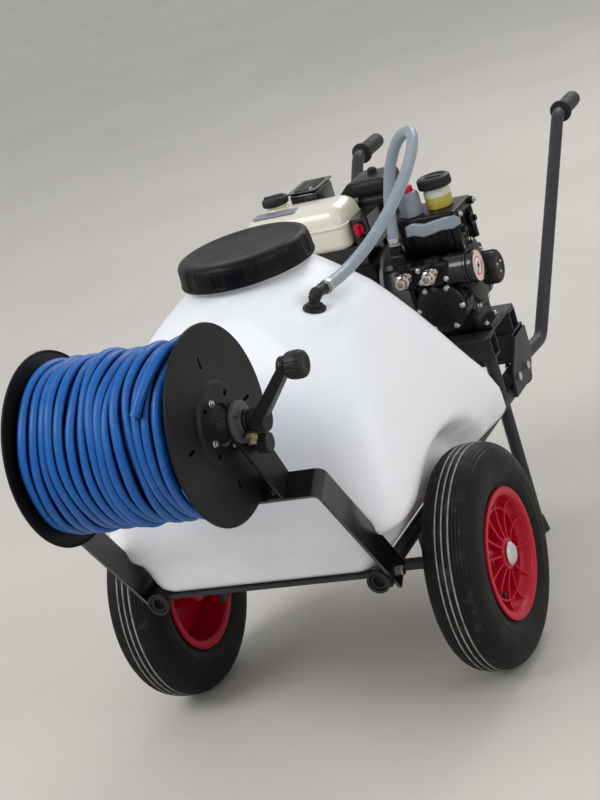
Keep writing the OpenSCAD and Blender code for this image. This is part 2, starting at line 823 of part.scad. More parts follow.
module oil_cap() {
    color([0.08, 0.08, 0.08]) on_cart() translate([182, 556, 0]) difference() {
        union() {
            translate([0, 0, 725]) cylinder(r = 32, h = 20);
            for (a = [0:20:340]) rotate([0, 0, a]) translate([31.5, 0, 726]) cylinder(r = 2, h = 16);
        }
        translate([0, 0, 724.5]) cylinder(r = 27, h = 14);
    }
}

module air_vessel() {
    color("lightgray") on_cart() translate([133, 527, 0]) {
        translate([0, 0, 684]) cylinder(r = 22, h = 50);
        translate([0, 0, 734]) cylinder(r = 13, h = 9);
    }
}

frame();
rail_end_caps();
leg_feet();
axle();
axle_washers();
hub_caps();
tyre(1);  // tyre_right
tyre(-1);  // tyre_left
inner_tube(1);  // inner_tube_right
inner_tube(-1);  // inner_tube_left
rim(1);  // rim_right
rim(-1);  // rim_left
hub_bush(1);  // hub_bush_right
hub_bush(-1);  // hub_bush_left
handle(1);  // handle_right
handle(-1);  // handle_left
grip(1);  // grip_right
grip(-1);  // grip_left
frame_bolts();
tank();
tank_lid();
lid_gasket();
strainer_basket();
tank_elbow();
suction_hose();
hose_clamps();
reel_carrier();
reel_brackets();
reel_bearings();
reel_flanges();
reel_drum();
reel_shaft();
reel_hose();
crank_arm();
crank_knob();
reel_swivel();
brake_knob();
engine_block();
cylinder_head();
fuel_tank();
fuel_cap();
recoil_cover();
recoil_handle();
air_cleaner();
muffler();
engine_switch();
throttle_lever();
drive_shaft();
bell_housing();
pump_body();
pump_heads();
pump_manifold();
outlet_taps();
tap_lever(tap_xs[0]);  // tap_lever_inner
tap_lever(tap_xs[1]);  // tap_lever_outer
regulator_knob();
pressure_gauge();
oil_reservoir();
oil_cap();
air_vessel();
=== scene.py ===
import json
import math

import bmesh
import bpy
from mathutils import Matrix, Vector, noise


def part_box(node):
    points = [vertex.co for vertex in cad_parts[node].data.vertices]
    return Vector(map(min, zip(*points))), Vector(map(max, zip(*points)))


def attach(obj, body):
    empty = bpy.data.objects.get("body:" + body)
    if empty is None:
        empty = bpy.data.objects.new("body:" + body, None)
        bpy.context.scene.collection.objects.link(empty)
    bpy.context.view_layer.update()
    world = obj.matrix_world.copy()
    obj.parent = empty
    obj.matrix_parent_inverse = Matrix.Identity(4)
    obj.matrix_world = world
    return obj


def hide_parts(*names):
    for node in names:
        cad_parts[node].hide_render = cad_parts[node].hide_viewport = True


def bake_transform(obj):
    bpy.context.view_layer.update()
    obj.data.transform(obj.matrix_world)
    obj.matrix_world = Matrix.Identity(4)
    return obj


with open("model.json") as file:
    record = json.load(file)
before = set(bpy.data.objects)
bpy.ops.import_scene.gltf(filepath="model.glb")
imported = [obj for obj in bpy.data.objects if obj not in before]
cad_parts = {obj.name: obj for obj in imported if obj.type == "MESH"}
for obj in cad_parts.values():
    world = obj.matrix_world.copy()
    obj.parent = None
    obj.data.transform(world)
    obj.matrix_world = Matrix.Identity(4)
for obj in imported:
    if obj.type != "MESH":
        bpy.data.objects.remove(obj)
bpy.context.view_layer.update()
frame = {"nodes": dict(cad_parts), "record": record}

MM = 0.001
RECORD = frame["record"]
SLOT_OF = {row["node"]: row["material_slot"] for row in RECORD["subparts"]}
BODY_OF = {node: body for body, nodes in RECORD["behaviour"]["bodies"].items() for node in nodes}


def middle(node):
    """Centre of a CAD node's box, in metres."""
    low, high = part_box(node)
    return (low + high) / 2


AXLE = middle("axle")
REEL = middle("reel_shaft")


def at(x, y, z):
    """Place given in millimetres, y counted from the wheel axle."""
    return Vector((x, y, z)) * MM + Vector((0, AXLE.y, 0))


def corners(node):
    """Lowest and highest corner of a CAD node's box, in millimetres with y from the axle."""
    return [(corner - at(0, 0, 0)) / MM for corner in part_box(node)]


# -------- dimensions in millimetres

RIB_PITCH = 5.8  # from rib to rib of the tyre's tread
TREAD_DEPTH = 0.8
TYRE_BEAD_R = 105
TYRE_CORE_R = 152  # widest place of the tyre's section
SIDEWALL_RINGS = ((140, 2), (156, 1.2))  # radius and half width of the raised rings
RIM_RIBS = 12

NECK_Y = 74.5  # tank neck and lid
ARCH_R = 222  # wheel arch in the tank's side
ARCH_X = 246
OUTLET = Vector((158, -42, 708))  # flat seat on the tank's shoulder
OUTLET_TILT = 18  # degrees, as is the turn
OUTLET_TURN = 10
ELBOW_RISE = 28

HOSE_R = 11
HOSE_TOP = Vector((205, 445, 864))  # top of the suction hose's loop
HOSE_TO_TOP = Vector((260, 403, 868))
HOSE_FROM_TOP = Vector((167, 474, 861))
INLET = Vector((100, 478, 640))  # hose barb on the pump

WOUND_HOSE_R = 8.4
TUBE_R = 13.5
GRIP_X, GRIP_Y, GRIP_Z = 243, 1212, 668  # front end of a hand grip
RAIL_X, RAIL_Z = 213, 283
RAIL_ENDS = (-227, 640)

FUEL_CAP_AT = (-160, 562)
CLEANER_NUT_AT = (24, 645)
SWITCH_AT = (27, 684)
CORD_Y, CORD_Z = 500, 604
SHAFT_Y, SHAFT_Z = 560, 540
HEADS_X, HEADS_Z = 165, 512
TAP_XS = (118, 172)
TAP_Z = 586
TAP_STEM_Y = 436
DECK_Z = 431
OIL_LEVEL = 708


# -------- materials

def rgb(red, green, blue):
    """Colour from 0 to 255 values as seen on a screen."""
    def linear(value):
        value /= 255
        return value / 12.92 if value < 0.04045 else ((value + 0.055) / 1.055) ** 2.4
    return (linear(red), linear(green), linear(blue), 1)


def shade(color, factor):
    """The colour made lighter or darker."""
    return tuple(min(channel * factor, 1) for channel in color[:3]) + (1,)


class Nodes:
    """Short way to write a material's node tree. Scales and distances in it are in metres."""

    def __init__(self, name):
        self.material = bpy.data.materials.new(name)
        self.material.use_nodes = True
        self.tree = self.material.node_tree
        self.place = self.make("TexCoord").outputs["Object"]

    def put(self, inputs, node):
        """Links outputs to the node's inputs, or sets those to numbers or colours."""
        for key, value in inputs.items():
            if hasattr(value, "is_linked"):
                self.tree.links.new(value, node.inputs[key])
            else:
                node.inputs[key].default_value = value

    def make(self, kind, inputs={}, **settings):
        """Adds a shader node with its inputs and settings."""
        node = self.tree.nodes.new("ShaderNode" + kind)
        for key, value in settings.items():
            setattr(node, key, value)
        self.put(inputs, node)
        return node

    def finish(self, inputs):
        """Sets the surface shader's inputs and gives the material."""
        self.put(inputs, self.tree.nodes["Principled BSDF"])
        return self.material

    def noise(self, scale, detail=3):
        inputs = {"Vector": self.place, "Scale": scale, "Detail": detail, "Roughness": 0.55}
        return self.make("TexNoise", inputs).outputs["Fac"]

    def ramp(self, value, low, high, start=0.0, end=1.0):
        """Value mapped from low..high to start..end, smoothly and clamped."""
        inputs = {"Value": value, "From Min": low, "From Max": high, "To Min": start, "To Max": end}
        return self.make("MapRange", inputs, interpolation_type="SMOOTHSTEP").outputs["Result"]

    def math(self, kind, first, second=0.0):
        return self.make("Math", {0: first, 1: second}, operation=kind).outputs[0]

    def times(self, first, second):
        return self.math("MULTIPLY", first, second)

    def away_from(self, value, level):
        """How far the value is from a level, on either side."""
        return self.math("ABSOLUTE", self.math("SUBTRACT", value, level))

    def mix(self, share, first, second):
        inputs = {"Factor": share, "A": first, "B": second}
        return self.make("Mix", inputs, data_type="RGBA").outputs["Result"]

    def split(self, vector, name):
        return self.make("SeparateXYZ", {0: vector}).outputs[name]

    def around(self, centre):
        """Angle and radius about a line along X through the centre."""
        y = self.math("SUBTRACT", self.split(self.place, "Y"), centre.y)
        z = self.math("SUBTRACT", self.split(self.place, "Z"), centre.z)
        squares = self.math("ADD", self.math("POWER", y, 2), self.math("POWER", z, 2))
        return self.math("ARCTAN2", z, y), self.math("SQRT", squares)

    def bump(self, height, depth, **under):
        """Relief on the surface, or on the normal given as Normal=."""
        return self.make("Bump", {"Distance": depth, "Height": height, **under}).outputs["Normal"]


BLOTCH_SCALE = 14
EDGE_WIDTH = 1.2 * MM
DUST = rgb(176, 170, 160)


def surface(name, color, rough, metal=0.0, vary=0.12, grain=0.0002, grain_scale=500, edge=1.6,
            dust=0.0, coat=0.0, gloss=0.5):
    """A worn solid finish: blotched colour, fine grain, rounded edges made lighter by wear and by a painted
    highlight, and settled dust.
    """
    nodes = Nodes(name)
    blotch = nodes.noise(BLOTCH_SCALE, 5)
    colour = nodes.mix(blotch, shade(color, 1 - vary), shade(color, 1 + vary))
    normal = nodes.make("NewGeometry").outputs["Normal"]
    bevel = nodes.make("Bevel", {"Radius": EDGE_WIDTH}, samples=4).outputs["Normal"]
    flat = nodes.make("VectorMath", {0: bevel, 1: normal}, operation="DOT_PRODUCT").outputs["Value"]
    # Rounded edges are lightened in colour: partly edge wear, partly a painted highlight along the bevel.
    worn_and_highlit_edge = nodes.times(nodes.ramp(flat, 0.995, 0.9), blotch)
    colour = nodes.mix(worn_and_highlit_edge, colour, shade(color, edge))
    if dust:
        settled = nodes.ramp(nodes.split(normal, "Z"), 0.2, 1.0, 0.0, dust)
        settled = nodes.times(settled, nodes.ramp(nodes.noise(40, 6), 0.3, 0.7))
        colour = nodes.mix(settled, colour, DUST)
    return nodes.finish({
        "Base Color": colour,
        "Roughness": nodes.ramp(blotch, 0.2, 0.8, rough * 0.85, min(rough * 1.2, 1)),
        "Metallic": metal,
        "Specular IOR Level": gloss,
        "Coat Weight": coat,
        "Coat Roughness": 0.12,
        "Normal": nodes.bump(nodes.noise(grain_scale, 2), grain, Normal=bevel)})


def tank_material():
    """White translucent plastic, a little dirty near the bottom."""
    nodes = Nodes("white_polyethylene_skin")
    colour = nodes.mix(nodes.noise(5), rgb(232, 235, 240), rgb(244, 245, 247))
    low = nodes.ramp(nodes.split(nodes.place, "Z"), 0.30, 0.42, 0.16, 0.0)
    dirt = nodes.times(low, nodes.ramp(nodes.noise(18, 6), 0.35, 0.75))
    peel = nodes.math("ADD", nodes.noise(120, 2), nodes.times(nodes.noise(9, 2), 3.0))
    return nodes.finish({
        "Base Color": nodes.mix(dirt, colour, rgb(190, 184, 170)),
        "Roughness": 0.34,
        "Subsurface Weight": 0.5,
        "Subsurface Radius": (0.05, 0.05, 0.052),
        "Subsurface Scale": 0.6,
        "Normal": nodes.bump(peel, 0.0004)})


def braided_material():
    """Clear hose with two crossing layers of thread, from the sweep's own coordinates."""
    thread_count, lay = 8, 0.034
    nodes = Nodes("clear_pvc_braid")
    uv = nodes.make("UVMap").outputs["UV"]
    layers = []
    for turn in (1, -1):
        lean = nodes.times(nodes.split(uv, "Y"), turn * thread_count * math.pi)
        run = nodes.times(nodes.split(uv, "X"), thread_count * math.pi / lay)
        wave = nodes.math("ABSOLUTE", nodes.math("SINE", nodes.math("ADD", lean, run)))
        layers.append(nodes.ramp(wave, 0.42, 0.2))
    threads = nodes.math("MAXIMUM", *layers)
    wall = nodes.mix(nodes.noise(30), rgb(104, 122, 140), rgb(140, 156, 172))
    return nodes.finish({
        "Base Color": nodes.mix(threads, wall, rgb(206, 214, 222)),
        "Roughness": 0.2,
        "Transmission Weight": 0.25,
        "IOR": 1.35,
        "Coat Weight": 0.4,
        "Normal": nodes.bump(threads, 0.0004)})


def hose_material():
    """Blue hose, with painted shade darkening it down in the grooves between turns."""
    nodes = Nodes("blue_hose_pvc")
    streak = nodes.noise(6, 4)
    colour = nodes.mix(streak, rgb(4, 72, 144), rgb(11, 104, 190))
    dull = nodes.ramp(nodes.noise(55, 6), 0.45, 0.8, 0.0, 0.14)
    colour = nodes.mix(dull, colour, rgb(80, 144, 196))
    # Painted shade: occluded places between the turns are mixed towards dark navy.
    painted_groove_shade = nodes.make("AmbientOcclusion", {"Distance": 0.012}, samples=8).outputs["AO"]
    return nodes.finish({
        "Base Color": nodes.mix(nodes.ramp(painted_groove_shade, 0.3, 0.9), rgb(2, 12, 54), colour),
        "Roughness": nodes.ramp(streak, 0.3, 0.7, 0.32, 0.46),
        "Specular IOR Level": 0.35,
        "Normal": nodes.bump(nodes.noise(260), 0.0003)})


def oil_material():
    """Clear cup, filled with yellow oil up to a level."""
    nodes = Nodes("oil_cup_clear")
    filled = nodes.ramp(nodes.split(nodes.place, "Z"), (OIL_LEVEL + 1) * MM, (OIL_LEVEL - 1) * MM)
    haze = nodes.noise(80)
    oil = nodes.mix(haze, rgb(190, 170, 50), rgb(214, 198, 84))
    clear = nodes.mix(haze, rgb(222, 220, 200), rgb(238, 238, 226))
    return nodes.finish({
        "Base Color": nodes.mix(filled, clear, oil),
        "Roughness": 0.14,
        "Transmission Weight": 0.35,
        "Coat Weight": 0.5,
        "Normal": nodes.bump(haze, 0.0002)})


def dial_material():
    """White dial with a red ring inside a scale of black ticks."""
    nodes = Nodes("gauge_dial")
    angle, radius = nodes.around(middle("pressure_gauge"))
    ticks = nodes.ramp(nodes.math("COSINE", nodes.times(angle, 30)), 0.6, 0.8)
    band = nodes.ramp(nodes.away_from(radius, 0.0238), 0.0024, 0.0020)
    ring = nodes.ramp(nodes.away_from(radius, 0.0171), 0.0021, 0.0017)
    paper = nodes.mix(nodes.noise(60), rgb(226, 204, 200), rgb(238, 222, 218))
    colour = nodes.mix(ring, paper, rgb(196, 84, 76))
    return nodes.finish({
        "Base Color": nodes.mix(nodes.times(band, ticks), colour, rgb(30, 28, 28)),
        "Roughness": 0.35,
        "Coat Weight": 1.0})


def tyre_material(side):
    """Black rubber. The tread's middle rib and its neighbours but one are worn light."""
    nodes = Nodes(f"tyre_rubber_{side}")
    centre = middle(f"tyre_{side}")
    radius = nodes.around(centre)[1]
    blotch = nodes.noise(20, 5)
    colour = nodes.mix(blotch, rgb(7, 7, 8), rgb(16, 16, 17))
    offset = nodes.away_from(nodes.split(nodes.place, "X"), centre.x)
    nearest = nodes.math("MINIMUM", offset, nodes.away_from(offset, 2 * RIB_PITCH * MM))
    patchy = nodes.ramp(nodes.noise(70, 5), 0.2, 0.7, 0.4, 1.0)
    outside = nodes.ramp(radius, 0.185, 0.190)
    crest = nodes.times(nodes.times(nodes.ramp(nearest, 0.0018, 0.0011), patchy), outside)
    colour = nodes.mix(crest, colour, rgb(166, 164, 160))
    dirt = nodes.times(nodes.ramp(nodes.noise(34, 6), 0.5, 0.8, 0.0, 0.2), outside)
    return nodes.finish({
        "Base Color": nodes.mix(dirt, colour, rgb(120, 116, 108)),
        "Roughness": nodes.ramp(blotch, 0.3, 0.7, 0.48, 0.62),
        "Specular IOR Level": 0.22,
        "Normal": nodes.bump(nodes.noise(420), 0.0003)})


PAINT_GRAIN = 0.00006
M = {
    "anthracite_paint": surface("anthracite_coat", rgb(36, 40, 43), 0.42, vary=0.1, grain=PAINT_GRAIN,
                                dust=0.03, gloss=0.4),
    "black_paint": surface("gloss_black_coat", rgb(9, 9, 10), 0.22, vary=0.25, grain=PAINT_GRAIN,
                           coat=0.35, dust=0.02, edge=4.0),
    "flange_black": surface("satin_black_coat", rgb(13, 13, 14), 0.46, vary=0.2, grain=PAINT_GRAIN,
                            dust=0.015, edge=3.0, gloss=0.25),
    "cast_black": surface("painted_casting", rgb(7, 7, 8), 0.34, vary=0.25, grain=0.0005,
                          grain_scale=260, coat=0.06, dust=0.008, edge=3.6, gloss=0.22),
    "cream_paint": surface("cream_enamel", rgb(220, 216, 198), 0.24, vary=0.05, grain=PAINT_GRAIN,
                           coat=0.6, edge=1.04),
    "black_plastic": surface("black_moulding", rgb(18, 18, 19), 0.46, vary=0.18, grain_scale=700,
                             dust=0.03, edge=2.4, gloss=0.35),
    "lid_plastic": surface("lid_moulding", rgb(8, 8, 9), 0.42, vary=0.18, grain_scale=420,
                           dust=0.01, edge=2.6, gloss=0.18),
    "grey_plastic": surface("grey_moulding", rgb(128, 132, 144), 0.4, vary=0.07),
    "light_casting": surface("light_grey_casting", rgb(140, 148, 158), 0.36, vary=0.14, grain=0.0004,
                             grain_scale=260, metal=0.3),
    "red_plastic": surface("red_moulding", rgb(178, 2, 38), 0.34, vary=0.1, edge=1.25, dust=0.01,
                           gloss=0.3),
    "nylon": surface("nylon_moulding", rgb(226, 222, 208), 0.45, vary=0.05),
    "black_rubber": surface("black_rubber_skin", rgb(20, 20, 21), 0.6, vary=0.2, grain=0.0004,
                            grain_scale=380, dust=0.04, edge=2.0),
    "steel": surface("bare_steel", rgb(150, 150, 150), 0.34, metal=1, vary=0.15),
    "zinc": surface("zinc_plate", rgb(196, 196, 192), 0.28, metal=1),
    "chrome": surface("polished_cap", rgb(226, 226, 228), 0.12, metal=1, vary=0.04, grain=0.00003),
    "nickel": surface("nickel_plate", rgb(204, 196, 186), 0.22, metal=1),
    "cast_alloy": surface("cast_alloy_skin", rgb(84, 86, 89), 0.44, metal=0.35, vary=0.14,
                          grain=0.0006, grain_scale=240),
    "brass_fitting": surface("dull_brass", rgb(132, 118, 88), 0.42, metal=0.8, vary=0.18, grain=0.0003),
    "white_polyethylene": tank_material(),
    "clear_pvc": braided_material(),
    "blue_hose": hose_material(),
    "amber": oil_material(),
}


# -------- places and profiles

def spin(degrees, axis):
    """Turn about a local axis."""
    return Matrix.Rotation(math.radians(degrees), 4, axis)


def shift(x, y, z):
    """Move by millimetres."""
    return Matrix.Translation(Vector((x, y, z)) * MM)


def upright(x, y, z=0):
    """Local Z runs up from a place in millimetres."""
    return Matrix.Translation(at(x, y, z))


def along_x(x, y, z):
    """Local Z runs along +X, local X down."""
    return upright(x, y, z) @ spin(90, "Y")


def forward(x, y, z):
    """Local Z runs along -Y, local Y up."""
    return upright(x, y, z) @ spin(90, "X")


def backward(x, y, z):
    """Local Z runs along +Y."""
    return upright(x, y, z) @ spin(-90, "X")


def about(node):
    """Local Z runs along +X from a CAD node's centre."""
    return Matrix.Translation(middle(node)) @ spin(90, "Y")


def across_at(node):
    """The same, with local heights counted from the cart's middle plane."""
    centre = middle(node)
    return Matrix.Translation((0, centre.y, centre.z)) @ spin(90, "Y")


def above(node):
    """Local Z runs up from the ground through a CAD node's centre."""
    centre = middle(node)
    return Matrix.Translation((centre.x, centre.y, 0))


def facing(place, direction):
    """Local Z runs along a direction."""
    return upright(*place) @ direction.to_track_quat("Z", "Y").to_matrix().to_4x4()


def smoothstep(value, low, high):
    """Rises smoothly from 0 at low to 1 at high."""
    t = min(max((value - low) / (high - low), 0), 1)
    return t * t * (3 - 2 * t)


def power(value, exponent):
    """Power that keeps the sign."""
    return math.copysign(abs(value) ** exponent, value)


def disc(radius, low, high, chamfer=1.0):
    """Profile of a solid disc with rounded edges."""
    c = chamfer
    return [(0, low), (radius - c, low), (radius - 0.3 * c, low + 0.3 * c), (radius, low + c),
            (radius, high - c), (radius - 0.3 * c, high - 0.3 * c), (radius - c, high), (0, high)]


def refine(profile, steps):
    """The profile with each stretch cut in steps(r0, h0, r1, h1) parts, so that a wave can shape it."""
    dense = []
    for (r0, h0), (r1, h1) in zip(profile, profile[1:]):
        count = steps(r0, h0, r1, h1)
        dense += [(r0 + (r1 - r0) * i / count, h0 + (h1 - h0) * i / count) for i in range(count)]
    return dense + [profile[-1]]


def fluted(count, depth, low, high, where):
    """Wave that cuts flutes into a lathe wherever where(radius, height) holds."""
    def wave(angle, radius, height):
        return -depth * smoothstep(math.cos(angle * count), low, high) if where(radius, height) else 0
    return wave


def hexagon(across):
    """Outline from the width across flats."""
    radius = across / math.sqrt(3)
    return [(radius * math.cos(math.pi * i / 3), radius * math.sin(math.pi * i / 3)) for i in range(6)]


def rounded(low, high, radius, steps=6):
    """Outline of a rounded rectangle from (x, y) corners."""
    points = []
    for cx, cy, start in ((high[0] - radius, high[1] - radius, 0), (low[0] + radius, high[1] - radius, 90),
                          (low[0] + radius, low[1] + radius, 180), (high[0] - radius, low[1] + radius, 270)):
        for i in range(steps + 1):
            a = math.radians(start + 90 * i / steps)
            points.append((cx + radius * math.cos(a), cy + radius * math.sin(a)))
    return points


def fillet(points, radius, steps=8):
    """Path through the points with its corners rounded."""
    points = [Vector(point) for point in points]
    path = [points[0]]
    for before, corner, after in zip(points, points[1:], points[2:]):
        a, b = before - corner, after - corner
        reach = min(radius / math.tan(a.angle(b) / 2), a.length * 0.45, b.length * 0.45)
        start, end = corner + a.normalized() * reach, corner + b.normalized() * reach
        for i in range(steps + 1):
            t = i / steps
            path.append(start * (1 - t) ** 2 + corner * 2 * t * (1 - t) + end * t * t)
    return path + [points[-1]]


def bezier(points, steps):
    """Places along a cubic curve, without its end."""
    a, b, c, d = points
    for i in range(steps):
        t = i / steps
        yield a * (1 - t) ** 3 + b * 3 * t * (1 - t) ** 2 + c * 3 * t * t * (1 - t) + d * t ** 3


# -------- shapes

class Shape:
    """Collects vertices and faces, each face with a material index."""

    def __init__(self):
        self.verts, self.faces, self.paint, self.uv = [], [], [], {}

    def add(self, verts, faces, paint=0):
        base = len(self.verts)
        self.verts += [tuple(v) for v in verts]
        self.faces += [tuple(base + i for i in face) for face in faces]
        self.paint += [paint] * len(faces)
        return base

    def finish(self, name, slots, sharp=38, bevel=0.0):
        """Makes the mesh object. Edges sharper than an angle stay crisp, and bevel rounds them."""
        mesh = bpy.data.meshes.new(name)
        mesh.from_pydata(self.verts, [], self.faces)
        for slot in slots:
            mesh.materials.append(M[slot])
        mesh.polygons.foreach_set("material_index", self.paint)
        if self.uv:
            layer = mesh.uv_layers.new(name="along")
            for loop in mesh.loops:
                layer.data[loop.index].uv = self.uv.get(loop.vertex_index, (0, 0))
        work = bmesh.new()
        work.from_mesh(mesh)
        if not self.uv:
            bmesh.ops.remove_doubles(work, verts=work.verts, dist=1e-6)
        bmesh.ops.dissolve_degenerate(work, edges=work.edges, dist=1e-7)
        bmesh.ops.recalc_face_normals(work, faces=work.faces)
        work.to_mesh(mesh)
        work.free()
        mesh.shade_smooth()
        mesh.set_sharp_from_angle(angle=math.radians(sharp))
        piece = bpy.data.objects.new(name, mesh)
        bpy.context.scene.collection.objects.link(piece)
        if bevel:
            rounding = piece.modifiers.new("edges", "BEVEL")
            rounding.width = bevel * MM
            rounding.segments = 2
            rounding.limit_method = "ANGLE"
            rounding.angle_limit = math.radians(40)
            rounding.harden_normals = True
        return piece

    def stand_in(self, node, name, *slots, sharp=38, bevel=0.0):
        """Shown in place of a CAD node, moving with the node's body."""
        piece = self.finish(name, slots, sharp, bevel)
        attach(piece, BODY_OF[node])
        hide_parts(node)

    def detail(self, body, slot, name, *slots, bevel=0.0):
        """Shown as an extra piece on a body."""
        piece = self.finish(name, slots, bevel=bevel)
        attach(piece, body)


def skin(shape, rings, bottom=True, top=True, wrap=True, paint=0):
    """Skin through rings of places, with a flat face at either end if asked."""
    count = len(rings[0])
    last = (len(rings) - 1) * count
    faces = []
    for i in range(0, last, count):
        for k in range(count if wrap else count - 1):
            n = (k + 1) % count
            faces.append((i + k, i + n, i + n + count, i + k + count))
    if bottom:
        faces.append(tuple(range(count))[::-1])
    if top:
        faces.append(tuple(range(last, last + count)))
    return shape.add([place for ring in rings for place in ring], faces, paint)


def lathe(shape, profile, matrix, segments=64, paint=0, closed=False, wave=None):
    """Turns a [radius, height] profile in mm about local Z. wave(angle, radius, height) moves the radius."""
    rings = []
    for radius, height in profile + profile[:closed]:
        ring = []
        for i in range(segments):
            angle = 2 * math.pi * i / segments
            r = radius + (wave(angle, radius, height) if wave and radius > 0 else 0)
            ring.append(matrix @ (Vector((r * math.cos(angle), r * math.sin(angle), height)) * MM))
        rings.append(ring)
    skin(shape, rings, bottom=False, top=False, paint=paint)


def prism(shape, outline, low, high, matrix, paint=0):
    """Extrudes an outline in mm between two local heights."""
    rings = [[matrix @ (Vector((x, y, z)) * MM) for x, y in outline] for z in (low, high)]
    skin(shape, rings, paint=paint)


def soft_box(shape, low, high, radius, matrix=None, paint=0, segments=4):
    """Box in mm with every edge rounded."""
    low, high = Vector(low), Vector(high)
    work = bmesh.new()
    bmesh.ops.create_cube(work, size=1)
    for v in work.verts:
        v.co = v.co * (high - low) + (high + low) / 2
    bmesh.ops.bevel(work, geom=list(work.edges), offset=radius, segments=segments, profile=0.5,
                    affect="EDGES")
    work.verts.index_update()
    place = matrix or upright(0, 0)
    shape.add([place @ (v.co * MM) for v in work.verts],
              [tuple(v.index for v in face.verts) for face in work.faces], paint)
    work.free()


def soft_boxes(shape, count, step, low, high, radius, paint=0):
    """Row of equal small boxes, each moved by a step from the last."""
    for i in range(count):
        move = i * Vector(step)
        soft_box(shape, Vector(low) + move, Vector(high) + move, radius, paint=paint, segments=2)


def bolt(shape, matrix, size, paint=0):
    """Hex head with a chamfer on a washer. size is the width across flats."""
    washer = 1.6
    edge, top = washer + size * 0.42, washer + size * 0.52
    lathe(shape, disc(size * 0.68, 0, washer, 0.4), matrix, 24, paint)
    prism(shape, hexagon(size), washer, edge, matrix, paint)
    lathe(shape, [(0, top), (size * 0.34, top), (size * 0.5, edge), (0, edge)], matrix, 18, paint)


def sweep(shape, path, radius, sides=16, with_uv=False, caps=True):
    """Round tube along a path in mm. with_uv keeps the length run and the turn round the tube."""
    path = [Vector(point) for point in path]
    before = path[:1] + path
    after = path[1:] + path[-1:]
    across = (after[0] - before[0]).normalized().orthogonal().normalized()
    rings, coords, travelled = [], [], 0.0
    for last, point, following in zip(before, path, after):
        tangent = (following - last).normalized()
        across = (across - tangent * across.dot(tangent)).normalized()
        other = tangent.cross(across)
        travelled += (point - last).length * MM
        ring = []
        for k in range(sides + with_uv):
            angle = 2 * math.pi * k / sides
            ring.append(at(*(point + (across * math.cos(angle) + other * math.sin(angle)) * radius)))
            coords.append((travelled, k / sides))
        rings.append(ring)
    base = skin(shape, rings, bottom=caps, top=caps, wrap=not with_uv)
    if with_uv:
        shape.uv.update((base + i, coord) for i, coord in enumerate(coords))


# -------- wheels

def tyre(side):
    """One section with beads, sidewall rings and tread ribs, turned about the axle."""
    node = f"tyre_{side}"
    low, high = corners(node)
    outer = (high.z - low.z) / 2
    half = (high.x - low.x) / 2
    profile = []
    count = 190
    for i in range(count + 1):
        a = math.radians(-128 + 256 * i / count)
        r = TYRE_CORE_R + (outer - TREAD_DEPTH - TYRE_CORE_R) * power(math.cos(a), 0.8)
        x = half * power(math.sin(a), 0.8)
        tread = smoothstep(r, outer - 24, outer - 12)
        r += TREAD_DEPTH * tread * math.cos(2 * math.pi * x / RIB_PITCH)
        wall = smoothstep(r, outer - 34, outer - 40) * smoothstep(r, 122, 128)
        if any(abs(r - ring_r) < ring_half for ring_r, ring_half in SIDEWALL_RINGS):
            x += math.copysign(0.5, x) * wall
        profile.append((r, x))
    profile += [(116.6, 41), (TYRE_BEAD_R, 40.5), (TYRE_BEAD_R, -40.5), (116.6, -41)]
    M[node] = tyre_material(side)
    shape = Shape()
    lathe(shape, profile, about(node), 144, closed=True)
    shape.stand_in(node, f"{node}_ribbed", node, sharp=50)


def rim(side):
    """Moulded rim with radial ribs and a hub, and the inner tube's valve coming through it."""
    node = f"rim_{side}"
    out = 1 if side == "right" else -1
    place = about(node) @ spin(90 - 90 * out, "X")
    profile = [(116, 46), (113.5, 46.6), (105, 45.5), (101.5, 42), (99.5, 32), (96, 23), (90, 18.5),
               (84, 18), (82.5, 29), (79, 29.5), (77.5, 17), (60, 15), (36, 16), (30, 22), (28, 39),
               (26, 41), (16, 41), (16, -41), (27, -41), (30, -20), (36, 10), (77, 10), (96, 12),
               (99, -20), (100.5, -42), (104, -45.5), (113.5, -46.6), (116, -46), (116, -41.5),
               (104.5, -41.5), (104.5, 41.5), (116, 41.5)]
    shape = Shape()
    lathe(shape, profile, place, 96, closed=True)
    for i in range(RIM_RIBS):
        turn = place @ spin(360 / RIM_RIBS * i + 12, "Z") @ spin(90, "X")
        prism(shape, [(27, 12), (80, 12), (80, 29), (60, 30), (40, 34), (28, 38)], -2.2, 2.2, turn)
        prism(shape, [(80, 12), (101, 12), (103, 40), (98, 34), (90, 29.5), (80, 29)], -2, 2, turn)
    shape.stand_in(node, f"{node}_ribbed", "red_plastic", bevel=0.8)
    stem = Shape()
    valve = place @ spin(-45 * out, "Z") @ shift(66, 0, 0) @ spin(14, "Y")
    lathe(stem, [(0, 12), (6, 12), (6, 18), (4, 20), (4, 26), (0, 26)], valve, 24)
    lathe(stem, [(0, 26), (4.6, 26), (4.8, 28), (4.8, 35), (3.6, 37), (0, 37)], valve, 24,
          wave=lambda a, r, h: 0.35 * math.cos(12 * a) if h > 27 else 0)
    stem.detail(f"wheel_{side}", "black_rubber", f"valve_{side}", "black_rubber")


# -------- tank and lid

